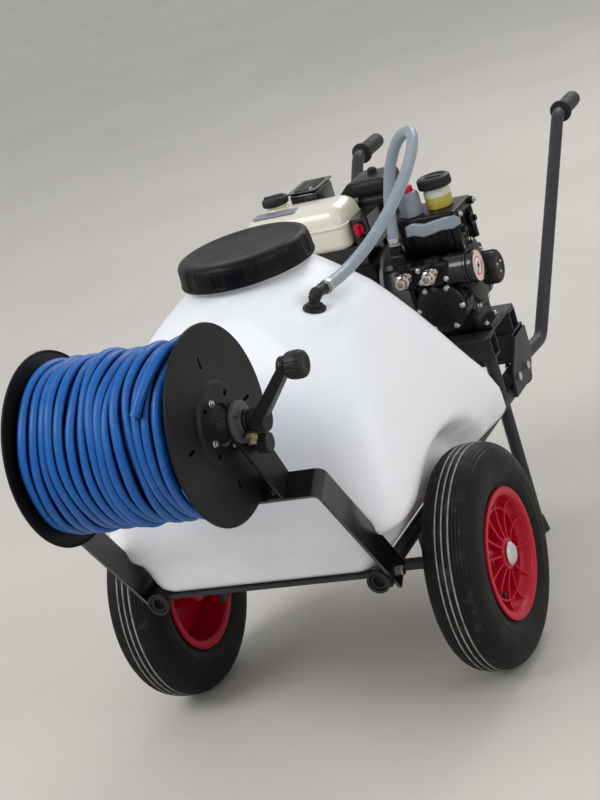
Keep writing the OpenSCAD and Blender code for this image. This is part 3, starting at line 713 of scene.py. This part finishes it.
TANK_LEVELS = [
    # height, half width, front, rear, corner radius, slope of the skirt
    (296.5, 199, -211, 349, 28, 0), (300, 208, -218, 357, 32, 0), (308, 217, -223, 363, 36, 0),
    (318, 224, -225, 368, 40, 0.1), (338, 231, -227, 374, 42, 0.6), (352, 239, -228, 380, 43, 1),
    (360, 252, -229, 388, 44, 1), (368, 268, -232, 394, 46, 1), (378, 279, -236, 394, 52, 0.9),
    (400, 290, -241, 380, 70, 0.5), (440, 290, -233, 342, 86, 0.1), (480, 285, -219, 306, 96, 0),
    (520, 276, -202, 281, 102, 0), (560, 264, -182, 258, 104, 0), (605, 245, -158, 236, 105, 0),
    (650, 223, -133, 214, 106, 0), (680, 202, -113, 205, 107, 0), (705, 177, -94, 197, 109, 0),
    (724, 155, -77, 193, 111, 0), (738, 138, -60, 190, 112, 0), (748, 125, -48, 187, 113, 0),
    (755, 115, -41, 189, 113.5, 0)]
NECK_PROFILE = ((113, 758), (109.5, 759), (108, 762), (108, 786), (107, 788), (99, 788), (98, 787), (98, 745))


def level_at(z):
    """The tank's measures at a height, between the levels of the table."""
    for a, b in zip(TANK_LEVELS, TANK_LEVELS[1:]):
        if a[0] <= z <= b[0]:
            t = (z - a[0]) / (b[0] - a[0])
            return [p + (q - p) * t for p, q in zip(a, b)]


def tank_ring(level, corner_steps=14, side_steps=18):
    """One section, with slightly crowned sides, a skirt that falls to the rear and the wheel arches."""
    z, half, front, rear, radius, slope = level
    radius = min(radius, half - 1, (rear - front) / 2 - 1)
    crown = 5 * smoothstep(z, 300, 420) * smoothstep(z, 750, 640)
    points = []
    for cx, cy, start in ((half - radius, rear - radius, 0), (radius - half, rear - radius, 90),
                          (radius - half, front + radius, 180), (half - radius, front + radius, 270)):
        for i in range(corner_steps):
            a = math.radians(start + 90 * i / corner_steps)
            points.append((cx + radius * math.cos(a), cy + radius * math.sin(a)))
        a = math.radians(start + 90)
        sx, sy = cx + radius * math.cos(a), cy + radius * math.sin(a)
        length = 2 * (half - radius) if start in (0, 180) else rear - front - 2 * radius
        for i in range(side_steps):
            t = i / side_steps
            bulge = crown * (1 - (2 * t - 1) ** 2)
            points.append((sx - math.sin(a) * length * t + math.cos(a) * bulge,
                           sy + math.cos(a) * length * t + math.sin(a) * bulge))
    ring = []
    for x, y in points:
        lowered = z + slope * (2 - 58 * max((y + 228) / 619, 0) ** 1.3)
        gap = math.hypot(y, lowered - AXLE.z / MM) - ARCH_R
        limit = ARCH_X + 2.8 * max(gap, 0)
        width = abs(x)
        soft = 5
        if width > limit - soft * 3:
            width = -soft * math.log(math.exp(-width / soft) + math.exp(-limit / soft))
        ring.append((math.copysign(width, x), y, lowered))
    return ring


def tank():
    """Shell up to the rim of the neck and down inside it, flattened at the outlet's seat."""
    heights = [296.5, 299, 303, 308, 316, 326, 338, 346, 352, 357, 362, 367, 372, 378, 386]
    heights += [394 + 9 * i for i in range(37)]
    heights += [724, 731, 738, 743, 748, 752, 755]
    rings = [tank_ring(level_at(z)) for z in sorted(heights)]
    for radius, z in NECK_PROFILE:
        angles = [math.atan2(y - NECK_Y, x) for x, y, _ in rings[-1]]
        rings.append([(radius * math.cos(angle), NECK_Y + radius * math.sin(angle), z) for angle in angles])
    seat = upright(*OUTLET) @ spin(OUTLET_TILT, "Y")
    inverse = seat.inverted()

    def flattened(point):
        place = at(*point)
        near = inverse @ place
        radial = math.hypot(near.x, near.y)
        if radial > 0.05 or abs(near.z) > 0.05:
            return place
        near.z *= 1 - smoothstep(radial, 0.044, 0.027)
        return seat @ near
    shape = Shape()
    skin(shape, [[flattened(point) for point in ring] for ring in rings], top=False)
    shape.stand_in("tank", "tank_shell", "white_polyethylene", sharp=60)


def tank_lid():
    """Screw lid with notches between wide grips round its edge."""
    low, high = corners("tank_lid")
    top = high.z
    outer = (high.x - low.x) / 2
    profile = [(0, top - 3), (70, top - 2.4), (96, top - 0.6), (103, top), (109, top - 0.4), (115, top - 3),
               (119, top - 8), (outer - 1, top - 14), (outer - 0.5, top - 24), (outer - 0.2, top - 34),
               (outer + 0.5, top - 38), (outer + 1, top - 41), (outer, top - 44), (112.5, top - 44),
               (111, top - 42), (111, top - 18.5), (0, top - 18.5)]

    def notch(angle, radius, height):
        if radius < 117 or height < top - 38 or height > top - 7:
            return 0
        turn = (math.degrees(angle) + 15) % 30 - 15
        return -1.6 * smoothstep(abs(turn), 5.2, 4.2)
    shape = Shape()
    dense = refine(profile, lambda r0, h0, r1, h1: 4 if min(r0, r1) > 117 else 1)
    lathe(shape, dense, upright(0, NECK_Y), 288, wave=notch)
    shape.stand_in("tank_lid", "lid_ribbed", "lid_plastic", sharp=45)


# -------- suction hose

def outlet_axes():
    """Directions at the outlet: off its tilted seat, and along the start of the hose."""
    tilt, turn = math.radians(OUTLET_TILT), math.radians(OUTLET_TURN)
    rise = Vector((math.sin(tilt), 0, math.cos(tilt)))
    out = Vector((math.sin(turn) * math.cos(tilt), math.cos(turn), -math.sin(turn) * math.sin(tilt)))
    return rise, out


def suction_hose():
    """Braided hose from the elbow over a loop to the pump, with a worm clamp at each end."""
    rise, out = outlet_axes()
    start = OUTLET + ELBOW_RISE * rise + 31 * out
    end = INLET + Vector((0, 0, 5))
    path = list(bezier((start, start + 220 * out, HOSE_TO_TOP, HOSE_TOP), 40))
    path += list(bezier((HOSE_TOP, HOSE_FROM_TOP, INLET + Vector((9, 13, 145)), end), 36)) + [end]
    shape = Shape()
    sweep(shape, path, HOSE_R, 24, with_uv=True, caps=False)
    shape.stand_in("suction_hose", "suction_hose_braided", "clear_pvc")
    clamps = Shape()
    for centre, axis in ((start + 10 * out, out), (INLET + Vector((1.2, 0, 17)), Vector((0.1, 0, 1)))):
        place = facing(centre, axis)
        band = [(11.6, -4.5), (12.6, -4.8), (12.9, 0), (12.6, 4.8), (11.6, 4.5)]
        lathe(clamps, band, place, 48, closed=True)
        soft_box(clamps, (11.5, -5, -5), (18, 6, 5), 1.0, place, segments=2)
        lathe(clamps, disc(3.6, -9, -4.5, 0.6), place @ shift(14.8, -3, 0) @ spin(90, "X"), 20)
    clamps.stand_in("hose_clamps", "hose_clamps_worm", "zinc")


def tank_elbow():
    """Ribbed hose elbow on a flat seat, ending in the barb that carries the hose."""
    rise, out = outlet_axes()
    corner = OUTLET + ELBOW_RISE * rise
    path = fillet([OUTLET + 4 * rise, corner, corner + 30.5 * out], 20, 10)
    shape = Shape()
    sweep(shape, path, 10, 32)
    for i in (3, 5, 7, 9):
        lathe(shape, [(9, -1.4), (11, -1.2), (11.4, 0), (11, 1.2), (9, 1.4)],
              facing(path[i], path[i + 1] - path[i]), 40, closed=True)
    sweep(shape, [corner + 30 * out, corner + 57 * out], 7, 24)
    base = facing(OUTLET, rise)
    lathe(shape, [(0, 0.1), (19, 0.1), (20, 1), (20, 4.6), (19, 5.6), (13, 6), (12, 7), (11.4, 12), (0, 12)],
          base, 48)
    prism(shape, hexagon(26), 5.8, 11, base)
    shape.stand_in("tank_elbow", "elbow_moulded", "black_plastic", sharp=40, bevel=0.3)


# -------- reel

def reel_point(angle, radius, x):
    """Place in mm round the reel's axis. The angle runs from the front up over the top."""
    return (x, (REEL.y - AXLE.y) / MM - radius * math.cos(angle), REEL.z / MM + radius * math.sin(angle))


def winding(turns, radius, pitch, lean, seed, wobble, lift):
    """Centre line of one hose layer. It starts low at the rear and wanders a little."""
    steps = 56
    start = math.radians(200)
    path = []
    for i in range(int(turns * steps) + 1):
        t = i / steps
        angle = 2 * math.pi * t
        drift = noise.noise(Vector((math.cos(angle) * 1.1, math.sin(angle) * 1.1, t * 0.35 + seed)))
        rise = noise.noise(Vector((math.cos(angle) * 0.9 + 9, math.sin(angle) * 0.9, t * 0.8 + seed)))
        x = lean * (t - turns / 2) * pitch + wobble * drift
        path.append(reel_point(angle + start, radius + lift * rise, x))
    return path


def reel_hose():
    """Three layers of hose and the loose end over them, with its open mouth."""
    low, high = corners("reel_hose")
    span = high.x - low.x - 2 * WOUND_HOSE_R
    shape = Shape()
    for turns, radius, lean, seed, wobble, lift, sides in ((15.4, 131, 1, 3.1, 12, 8, 14),
                                                           (15.2, 118, -1, 8.4, 8, 4, 10),
                                                           (15.5, 103, 1, 15.2, 4, 3, 8)):
        pitch = span / (15.8 if radius == 103 else 15.6)
        sweep(shape, winding(turns, radius, pitch, lean, seed, wobble, lift), WOUND_HOSE_R, sides)
    tail = []
    for i in range(31):
        t = i / 30
        radius = 141 + 7 * smoothstep(t, 0, 0.4)
        tail.append(reel_point(math.radians(96 - 64 * t), radius, 128 - 40 * t ** 1.4))
    sweep(shape, tail, 8, 14, caps=False)
    mouth = facing(tail[-1], Vector(tail[-1]) - Vector(tail[-2]))
    lathe(shape, [(8, -1), (8, 0), (5.2, 0.2), (5.2, -14), (0, -14), (0, -16), (7.9, -16)], mouth, 14)
    shape.stand_in("reel_hose", "reel_hose_wound", "blue_hose")


def flange_bolts():
    """Bolts through each flange into the drum."""
    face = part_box("reel_flanges")[1].x / MM
    for side, name in ((1, "right"), (-1, "left")):
        shape = Shape()
        for angle in range(20, 380, 90):
            bolt(shape, Matrix.Translation((0, REEL.y, REEL.z)) @ spin(90 * side, "Y") @ spin(angle, "Z") @
                 shift(43, 0, face + 0.05), 8)
        shape.detail("reel", "zinc", f"flange_bolts_{name}", "zinc", bevel=0.2)


def crank_knob():
    """Barrel knob with shallow grooves along it."""
    low, high = corners("crank_knob")
    half = (high.x - low.x) / 2
    outer = (high.z - low.z) / 2
    profile = [(0, -half), (outer - 5, -half), (outer - 3, 0.8 - half), (outer - 1.6, 3 - half),
               (outer - 0.6, 7 - half), (outer, 12 - half), (outer, half - 9), (outer - 1.0, half - 5),
               (outer - 2.4, half - 2.4), (outer - 4.5, half - 0.8), (outer - 7, half), (9, half),
               (8, half - 1.2), (0, half - 1.2)]

    def grooves(angle, radius, height):
        depth = smoothstep(radius, outer - 6, outer - 1.5)
        return -1.1 * depth * smoothstep(abs(math.sin(angle * 6)), 0.3, 0.08)
    shape = Shape()
    lathe(shape, refine(profile, lambda *_: 3), about("crank_knob"), 144, wave=grooves)
    shape.stand_in("crank_knob", "crank_knob_barrel", "black_plastic", sharp=60)


def reel_swivel():
    """Black swivel body on the hollow shaft, with the hose tail screwed into it from below."""
    shape = Shape()
    lathe(shape, [(12.1, 194), (18, 194), (19, 195), (19, 197.5), (17.6, 198.5), (17.6, 203), (19, 204),
                  (19, 206), (18, 207), (12.1, 207)], across_at("reel_shaft"), 64, closed=True)
    down = Matrix.Translation((200.5 * MM, REEL.y, REEL.z)) @ spin(150, "X")
    lathe(shape, [(5.2, 17), (11, 17), (11, 21), (5.2, 21)], down, 32, closed=True)
    prism(shape, hexagon(17), 21, 29, down, 1)
    barb = [(4.2, 28), (6.6, 28), (7, 29), (6.4, 31), (7, 32), (6.4, 34), (6.8, 35), (6, 37), (4.2, 37)]
    lathe(shape, barb, down, 32, 1, closed=True)
    shape.stand_in("reel_swivel", "swivel_body", "cast_black", "brass_fitting", sharp=36, bevel=0.3)


# -------- handles

def handles():
    """Bent tubes, each with a flanged and grooved rubber grip."""
    points = [(RAIL_X, 545, 310), (RAIL_X, 690, 310), (222, 775, 310), (GRIP_X, 1188, GRIP_Z),
              (GRIP_X, 1316, GRIP_Z)]

    def grooves(angle, radius, height):
        return -0.5 * smoothstep(abs(math.sin(angle * 8)), 0.4, 0.1) if 18 < height < 84 else 0
    for side, name in ((1, "right"), (-1, "left")):
        tube = Shape()
        sweep(tube, [Vector((side * p.x, p.y, p.z)) for p in fillet(points, 48)], TUBE_R, 32)
        tube.stand_in(f"handle_{name}", f"handle_{name}_bent", "anthracite_paint", sharp=50)
        end = corners(f"grip_{name}")[1].y - GRIP_Y
        profile = [(13.6, 0), (23, 0), (24, 1.5), (24, 4.5), (22.6, 6), (18.4, 7.4), (17.4, 10), (17.4, 14),
                   (17.8, 17), (17.8, 84), (17.4, 90), (17.6, 97), (17.2, end - 6), (14.5, end - 1.4),
                   (9, end), (0, end)]
        grip = Shape()
        lathe(grip, refine(profile, lambda r0, h0, r1, h1: 48 if h1 - h0 > 40 else 2),
              backward(side * GRIP_X, GRIP_Y, GRIP_Z), 96, wave=grooves)
        grip.stand_in(f"grip_{name}", f"grip_{name}_flanged", "black_rubber", sharp=50)


# -------- engine

def fuel_tank():
    """Pressed tank with a seam, a filler neck, a blank label patch and two feet, and its fluted cap."""
    low, high = corners("fuel_tank")
    levels = [(652, 16), (653, 6), (657, 1.5), (664, 0), (694, 0), (697, 0), (697.5, -2.2), (701.5, -2.2),
              (702, 0), (712, 1), (724, 4), (732, 9), (738, 16), (741, 26), (742, 40)]
    rings = []
    for z, inset in levels:
        outline = rounded((low.x + inset, low.y + inset), (high.x - inset, high.y - inset),
                          max(22 - inset * 0.3, 8), 8)
        rings.append([at(x, y, z) for x, y in outline])
    shape = Shape()
    skin(shape, rings)
    lathe(shape, [(24, 736), (24, 742), (22, 744.5), (20, 745.5), (20, 749.6), (0, 749.6)],
          upright(*FUEL_CAP_AT), 48)
    prism(shape, rounded((-192, 500), (-98, 534), 5), 741, 742.9, upright(0, 0), 1)
    for x in (-196, -14):
        soft_box(shape, (x - 12, 531, 694), (x + 12, 547, 703), 1.5)
    shape.stand_in("fuel_tank", "fuel_tank_pressed", "cream_paint", "grey_plastic", sharp=40, bevel=0.6)
    cap = Shape()
    lathe(cap, [(0, 750.1), (25, 750.1), (26.6, 751), (27, 753), (27, 761), (25.5, 764), (22, 766),
                (0, 766.4)], upright(*FUEL_CAP_AT), 144,
          wave=fluted(16, 1.4, 0.2, 0.9, lambda r, h: r > 24 and h > 750.5))
    soft_box(cap, (-182, 557.5, 763), (-138, 566.5, 769), 2)
    cap.stand_in("fuel_cap", "fuel_cap_fluted", "black_plastic", sharp=40)


def starter_cord():
    """Short cord inside the cover and the grip's stub."""
    inner, outer = (Vector((x, CORD_Y, CORD_Z)) for x in (-168, -180))
    shape = Shape()
    sweep(shape, [inner.lerp(outer, i / 24) for i in range(25)], 2.2)
    cord = shape.finish("starter_cord", ["black_rubber"])
    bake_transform(cord)


def air_cleaner():
    """Air box under a domed cover, with a sloped side, louvres, a fluted nut and a choke lever."""
    shape = Shape()
    soft_box(shape, (-14, 600, 656), (62, 690, 716), 7)
    soft_box(shape, (-16, 598, 717.5), (64, 692, 752), 12, segments=6)
    soft_box(shape, (-11, 603, 712), (59, 687, 722), 3)
    soft_box(shape, (2, 616, 611), (46, 674, 658), 6)
    prism(shape, [(-64, 703), (4, 703), (6, 750), (-8, 751.5), (-18, 750), (-62, 712), (-65, 707)], 0, 90,
          forward(0, 690, 0))
    soft_boxes(shape, 6, (0, 11, 0), (62.2, 612, 668), (64, 617, 706), 0.8)
    nut = upright(*CLEANER_NUT_AT)
    lathe(shape, disc(12, 751, 754, 0.8), nut, 32)
    lathe(shape, [(0, 766), (5, 766), (9, 763), (9.5, 760), (9.5, 754), (0, 754)], nut, 96,
          wave=fluted(8, 0.8, 0.3, 0.9, lambda r, h: r > 8))
    soft_box(shape, (-46, 597, 712), (-2, 600.6, 722), 1.4, segments=2, paint=1)
    soft_box(shape, (-30, 595.4, 706), (-18, 599, 728), 1.4, segments=2, paint=1)
    shape.stand_in("air_cleaner", "air_cleaner_moulded", "black_plastic", "grey_plastic", sharp=40, bevel=0.8)


def muffler():
    """Muffler inside its stepped black guard, with raised bars and a pipe to the engine."""
    shape = Shape()
    soft_box(shape, (-150, 602, 668), (-36, 692, 700.5), 8)
    soft_box(shape, (-150, 602, 690), (-88, 692, 752), 9, segments=5)
    prism(shape, rounded((-152, 600), (-86, 694), 5), 752, 755, upright(0, 0))
    soft_boxes(shape, 6, (0, 13, 0), (-142, 610, 755), (-96, 615, 757), 1)
    soft_boxes(shape, 4, (13, 0, 0), (-144, 600.6, 708), (-138, 603, 742), 1)
    soft_boxes(shape, 5, (20, 0, 0), (-141, 600.6, 674), (-128, 603, 679), 1)
    for x in (-140, -98):
        bolt(shape, upright(x, 606, 755), 7, 1)
    lathe(shape, [(15, 606), (15, 671), (0, 671), (0, 606)], upright(-50, 668), 40, 1)
    shape.stand_in("muffler", "muffler_guarded", "black_paint", "steel", sharp=40, bevel=0.3)


def engine_switch():
    """Red rocker on a round base."""
    x, z = SWITCH_AT
    shape = Shape()
    soft_box(shape, (x - 4.6, 487.5, z - 11.6), (x + 4.6, 496.2, z + 11.6), 2.2)
    lathe(shape, disc(10.8, 496.5, 503.4, 0.8), backward(x, 0, z), 40)
    shape.stand_in("engine_switch", "switch_rocker", "red_plastic", sharp=40)


# -------- pump

def pump_body():
    """Round crankcase with bolts and ribs, a finned top, feet on the deck and a grey saddle plate."""
    shape = Shape()
    centre = along_x(0, SHAFT_Y, SHAFT_Z)
    lathe(shape, [(0, 100), (80, 100), (82, 102), (82, 110), (80, 112), (74, 114), (74, 128), (77, 130),
                  (77, 136), (74, 138), (74, 150), (77, 152), (77, 158), (74, 160), (74, 184), (77, 186),
                  (79, 188), (79, 202), (77, 206), (72, 208), (60, 210), (56, 216), (40, 220), (0, 222)],
          centre, 96)
    for i in range(8):
        turn = centre @ spin(45 * i + 22, "Z")
        bolt(shape, turn @ shift(66, 0, 208.5), 9, 1)
        lathe(shape, disc(11, 184, 208, 1.5), turn @ shift(73, 0, 0), 24)
        soft_box(shape, (30, -2.5, 196), (64, 2.5, 214), 1.5, turn, segments=2)
    soft_box(shape, (110, 504, 604), (214, 602, 668), 10)
    soft_box(shape, (104, 500, 664), (226, 606, 684), 5, segments=3)
    soft_boxes(shape, 5, (0, 17, 0), (108, 516, 612), (216, 521, 662), 1.5)
    soft_boxes(shape, 6, (15, 0, 0), (118, 500, 612), (123, 606, 660), 1.5)
    for x in (114, 216):
        for y in (508, 598):
            lathe(shape, disc(9, 600, 682, 1.2), upright(x, y), 24)
    for y in (510, 596):
        lathe(shape, disc(8, 224, 233, 1.2), along_x(0, y, 674), 24)
        bolt(shape, along_x(233, y, 674), 8, 1)
    for y in (522, 588):
        lathe(shape, disc(13, 206, 226, 1.5), along_x(0, y, 640), 32)
        bolt(shape, along_x(226, y, 640), 11)
    lathe(shape, [(0, 206), (25, 206), (25, 228), (23, 231.5), (0, 231.5)], along_x(0, 548, 548), 48)
    soft_box(shape, (118, 515, DECK_Z + 0.4), (206, 605, 484), 6)
    for x in (110, 214):
        soft_box(shape, (x - 14, 520, DECK_Z + 0.2), (x + 14, 600, DECK_Z + 9), 2.5)
        for y in (532, 588):
            bolt(shape, upright(x, y, DECK_Z + 9), 9, 1)
    shape.stand_in("pump_body", "pump_casting", "cast_black", "zinc", sharp=36, bevel=0.5)
    saddle = Shape()
    outline = [(116, 4), (132, 5), (152, -1), (172, 2), (190, 6), (214, 5), (228, 10), (230, 24), (222, 30),
               (204, 31), (180, 28), (158, 25), (136, 30), (118, 26)]
    prism(saddle, outline, -8, 6, forward(4, 500, 646))
    saddle.detail("cart", "cast_alloy", "pump_saddle_plate", "light_casting", bevel=3)


def pump_heads():
    """Lobed diaphragm heads in front and behind, each with six bolts and a star of ribs."""
    profile = [(0, 60), (47, 60), (50, 62), (50, 84), (48, 86), (50, 88), (50, 100), (47, 104),
               (38, 108), (30, 113), (0, 114)]
    lobes = fluted(6, -3.4, 0.3, 0.95, lambda r, h: r > 44)
    for name, turned in (("front", forward), ("rear", backward)):
        shape = Shape()
        place = turned(HEADS_X, SHAFT_Y, HEADS_Z)
        lathe(shape, profile, place, 144, wave=lobes)
        for angle in range(0, 360, 60):
            bolt(shape, place @ spin(angle, "Z") @ shift(44, 0, 103.5), 9, 1)
            soft_box(shape, (10, -2, 104), (36, 2, 116), 1.2, place @ spin(angle + 30, "Z"), segments=2)
        shape.stand_in("pump_heads", f"pump_head_{name}", "cast_black", "zinc", sharp=36, bevel=0.4)


def pump_manifold():
    """Outlet block under the hose barb, with a boss for each tap and the gauge's glossy pipe."""
    shape = Shape()
    soft_box(shape, (102, 446, 566), (206, 492, 604), 7)
    soft_box(shape, (86, 464, 596), (118, 494, 628), 5)
    for x in TAP_XS:
        lathe(shape, disc(16, 560, 612, 2), upright(x, 460), 32)
        lathe(shape, [(0, 0), (15, 0), (17, 2), (17, 12), (15, 14), (0, 14)], forward(x, 459, TAP_Z), 32)
    pipe = [(0, 190), (28, 190), (31, 193), (31.5, 200), (31.5, 232), (33, 234), (33, 238.5), (0, 238.5)]
    lathe(shape, pipe, along_x(0, INLET.y, 577), 64, paint=1)
    lathe(shape, disc(12, 622, 642, 1), upright(INLET.x, INLET.y), 32)
    lathe(shape, [(7, 640), (7, 668), (0, 668), (0, 640)], upright(INLET.x, INLET.y), 24)
    for x, z in ((145, 596), (145, 572), (196, 572)):
        bolt(shape, forward(x, 446, z), 8, 2)
    shape.stand_in("pump_manifold", "pump_manifold_cast", "cast_black", "black_paint", "zinc", sharp=36,
                   bevel=0.4)


def outlet_taps():
    """Turned tap bodies with a hexagon, a hose barb and the lever's stem."""
    shape = Shape()
    for x in TAP_XS:
        place = forward(x, 0, TAP_Z)
        lathe(shape, [(6, -445), (11, -445), (11, -441), (10, -440), (10, -436), (12, -435), (12, -428),
                      (13.5, -427), (13.5, -420), (12, -419), (10.2, -418), (9.6, -412), (10.4, -411),
                      (10.4, -409), (9.6, -408), (9.6, -406), (6, -406)], place, 48, closed=True)
        prism(shape, hexagon(26), -427.5, -420.5, place)
        lathe(shape, [(4.06, 590), (8, 590), (8.6, 591), (8.6, 598), (8, 600), (4.06, 600)],
              upright(x, TAP_STEM_Y), 32, closed=True)
        lathe(shape, disc(5.5, 9, 17, 1), upright(x, TAP_STEM_Y, TAP_Z) @ spin(60, "Y"), 24)
    shape.stand_in("outlet_taps", "outlet_taps_turned", "nickel", sharp=36, bevel=0.3)


def gauge():
    """Cased dial with a needle on a small hub."""
    shape = Shape()
    place = across_at("pressure_gauge")
    lathe(shape, [(0, 239), (31, 239), (32, 240.5), (32, 253), (31.4, 254.6), (30.2, 255), (29.6, 254),
                  (29.4, 252.6), (0, 252.6)], place, 96)
    lathe(shape, [(0, 252.8), (29.2, 252.8), (29.2, 253.3), (0, 253.3)], place, 96, paint=1)
    prism(shape, [(-7, -1.4), (20, -0.4), (20, 0.4), (-7, 1.4)], 253.5, 254.0, place @ spin(-35, "Z"), 2)
    lathe(shape, disc(3.4, 252.9, 255, 0.4), place, 24, 2)
    shape.stand_in("pressure_gauge", "gauge_cased", "black_paint", "gauge_dial", "black_plastic", sharp=36)


def regulator_knob():
    """Fluted knob with three small screws in its face."""
    low, high = corners("regulator_knob")
    x0, x1 = low.x + 0.1, high.x
    place = across_at("regulator_knob")
    profile = [(0, x0), (26, x0), (29, x0 + 1), (33, x0 + 4), (33.4, x0 + 8), (33.4, x1 - 8), (32, x1 - 4),
               (28, x1 - 1), (24, x1), (20, x1), (18.6, x1 - 1.6), (0, x1 - 1.6)]
    flutes = fluted(8, 3.0, 0.45, 0.95, lambda r, h: r >= 30)
    shape = Shape()
    lathe(shape, refine(profile, lambda *_: 3), place, 144, wave=flutes)
    for angle in (0, 120, 240):
        lathe(shape, disc(2.6, x1 - 2, x1 + 0.6, 0.5), place @ spin(angle, "Z") @ shift(12, 0, 0), 16, 1)
    shape.stand_in("regulator_knob", "regulator_knob_fluted", "black_plastic", "zinc", sharp=45)


def oil_cup():
    """Clear oil cup with its knurled cap."""
    place = above("oil_reservoir")
    cup = Shape()
    lathe(cup, [(0, 684.2), (24, 684.2), (26, 685.5), (26.4, 688), (26.4, 716), (25, 720), (25, 724),
                (22.5, 724), (22.5, 709), (0, 709)], place, 64)
    cup.stand_in("oil_reservoir", "oil_cup_filled", "amber", sharp=40)
    cap = Shape()
    lathe(cap, [(27.2, 725), (32, 725), (33.2, 726.5), (33.4, 730), (33.4, 739), (32.4, 743), (29, 745.6),
                (24, 745.8), (22, 744), (19, 743.4), (0, 743.4), (0, 738.5), (27, 738.5)], place, 216,
          wave=fluted(24, 1.1, -0.2, 0.7, lambda r, h: r > 31.5 and h < 742))
    soft_box(cap, (-16, -3.2, 743), (16, 3.2, 745.6), 1.2, place, segments=2)
    cap.stand_in("oil_cap", "oil_cap_knurled", "black_plastic", sharp=40)


def air_vessel():
    """Grey pressure vessel with a red cap."""
    place = above("air_vessel")
    shape = Shape()
    lathe(shape, [(0, 684.2), (19, 684.2), (21, 685), (21.6, 688), (22, 700), (22, 722), (21, 727),
                  (17, 730.5), (13, 732), (0, 732)], place, 64)
    cap = [(0, 731), (13, 731), (13.6, 733), (13.4, 741), (12, 743), (8, 743.6), (0, 743.6)]
    lathe(shape, cap, place, 48, 1)
    shape.stand_in("air_vessel", "air_vessel_capped", "grey_plastic", "red_plastic", sharp=40)


# -------- assembly

def rail_end_caps():
    """Ribbed plugs with a deep socket, pushed into both ends of the side rails."""
    shape = Shape()
    front, rear = RAIL_ENDS
    for x in (RAIL_X, -RAIL_X):
        for place in (forward(x, front, RAIL_Z), backward(x, rear, RAIL_Z)):
            lathe(shape, [(17.9, -12), (17.9, 0), (20.2, 0), (20.5, 1), (20.5, 3.4), (19.6, 4), (16.6, 4),
                          (15.8, 3), (15.4, -10), (0, -10), (0, -12)], place, 48)
    shape.stand_in("rail_end_caps", "rail_plugs", "black_rubber", sharp=40)


def paint_cad_nodes():
    """CAD nodes that stay on show get the finish of their record slot."""
    special = {name: "flange_black" for name in ("reel_flanges", "crank_arm", "reel_brackets")}
    for name, node in frame["nodes"].items():
        node.data.materials.clear()
        node.data.materials.append(M.get(special.get(name, SLOT_OF[name]), M["black_rubber"]))


LIGHTS = (  # name, place, size, watts
    ("key", (-2.4, -3.2, 4.2), 2.6, 120),
    ("fill", (4.2, -1.6, 2.6), 2.4, 50),
    ("back", (0.5, 4.0, 3.6), 2.6, 70))
LIT_POINT = Vector((0, -0.2, 0.4))


def floor_and_light():
    """Pale plain floor under an even sky and three soft lamps."""
    bpy.ops.mesh.primitive_plane_add(size=60, location=(0, 0, 0))
    ground = bpy.context.object
    ground.name = "floor"
    nodes = Nodes("pale_floor")
    ground.data.materials.append(nodes.finish({
        "Base Color": nodes.mix(nodes.noise(1.6, 6), rgb(191, 187, 180), rgb(209, 205, 198)),
        "Roughness": 0.8,
        "Normal": nodes.bump(nodes.noise(30, 6), 0.001)}))
    bpy.context.scene.view_settings.view_transform = "Standard"
    world = bpy.data.worlds.new("studio")
    bpy.context.scene.world = world
    world.use_nodes = True
    background = world.node_tree.nodes["Background"]
    background.inputs["Color"].default_value = (0.81, 0.82, 0.83, 1)
    background.inputs["Strength"].default_value = 0.75
    for name, place, size, energy in LIGHTS:
        light = bpy.data.lights.new(name, "AREA")
        light.size = size
        light.energy = energy
        lamp = bpy.data.objects.new(name, light)
        lamp.location = place
        lamp.rotation_euler = (LIT_POINT - Vector(place)).to_track_quat("-Z", "Y").to_euler()
        bpy.context.scene.collection.objects.link(lamp)


CAMERA_AZIMUTH, CAMERA_ELEVATION, CAMERA_ROLL = 28.23, 17.85, 18.0  # degrees
CAMERA_AIM = Vector((0.056, AXLE.y, 0.537))
CAMERA_DISTANCE = 3.475
CAMERA_LENS = 89.67


def camera():
    """Stands to the front on the crank side, rolled about its own axis."""
    data = bpy.data.cameras.new("camera")
    data.sensor_fit = "VERTICAL"
    data.sensor_height = 36
    data.lens = CAMERA_LENS
    data.clip_end = 100
    eye = bpy.data.objects.new("camera", data)
    turn = spin(CAMERA_AZIMUTH, "Z") @ spin(90 - CAMERA_ELEVATION, "X") @ spin(-CAMERA_ROLL, "Z")
    eye.matrix_world = Matrix.Translation(CAMERA_AIM) @ turn @ Matrix.Translation((0, 0, CAMERA_DISTANCE))
    bpy.context.scene.collection.objects.link(eye)
    bpy.context.scene.camera = eye


paint_cad_nodes()
M["gauge_dial"] = dial_material()
for side in ("right", "left"):
    tyre(side)
    rim(side)
tank()
tank_lid()
suction_hose()
tank_elbow()
reel_hose()
flange_bolts()
crank_knob()
reel_swivel()
handles()
fuel_tank()
starter_cord()
air_cleaner()
muffler()
engine_switch()
pump_body()
pump_heads()
pump_manifold()
outlet_taps()
gauge()
regulator_knob()
oil_cup()
air_vessel()
rail_end_caps()
floor_and_light()
camera()
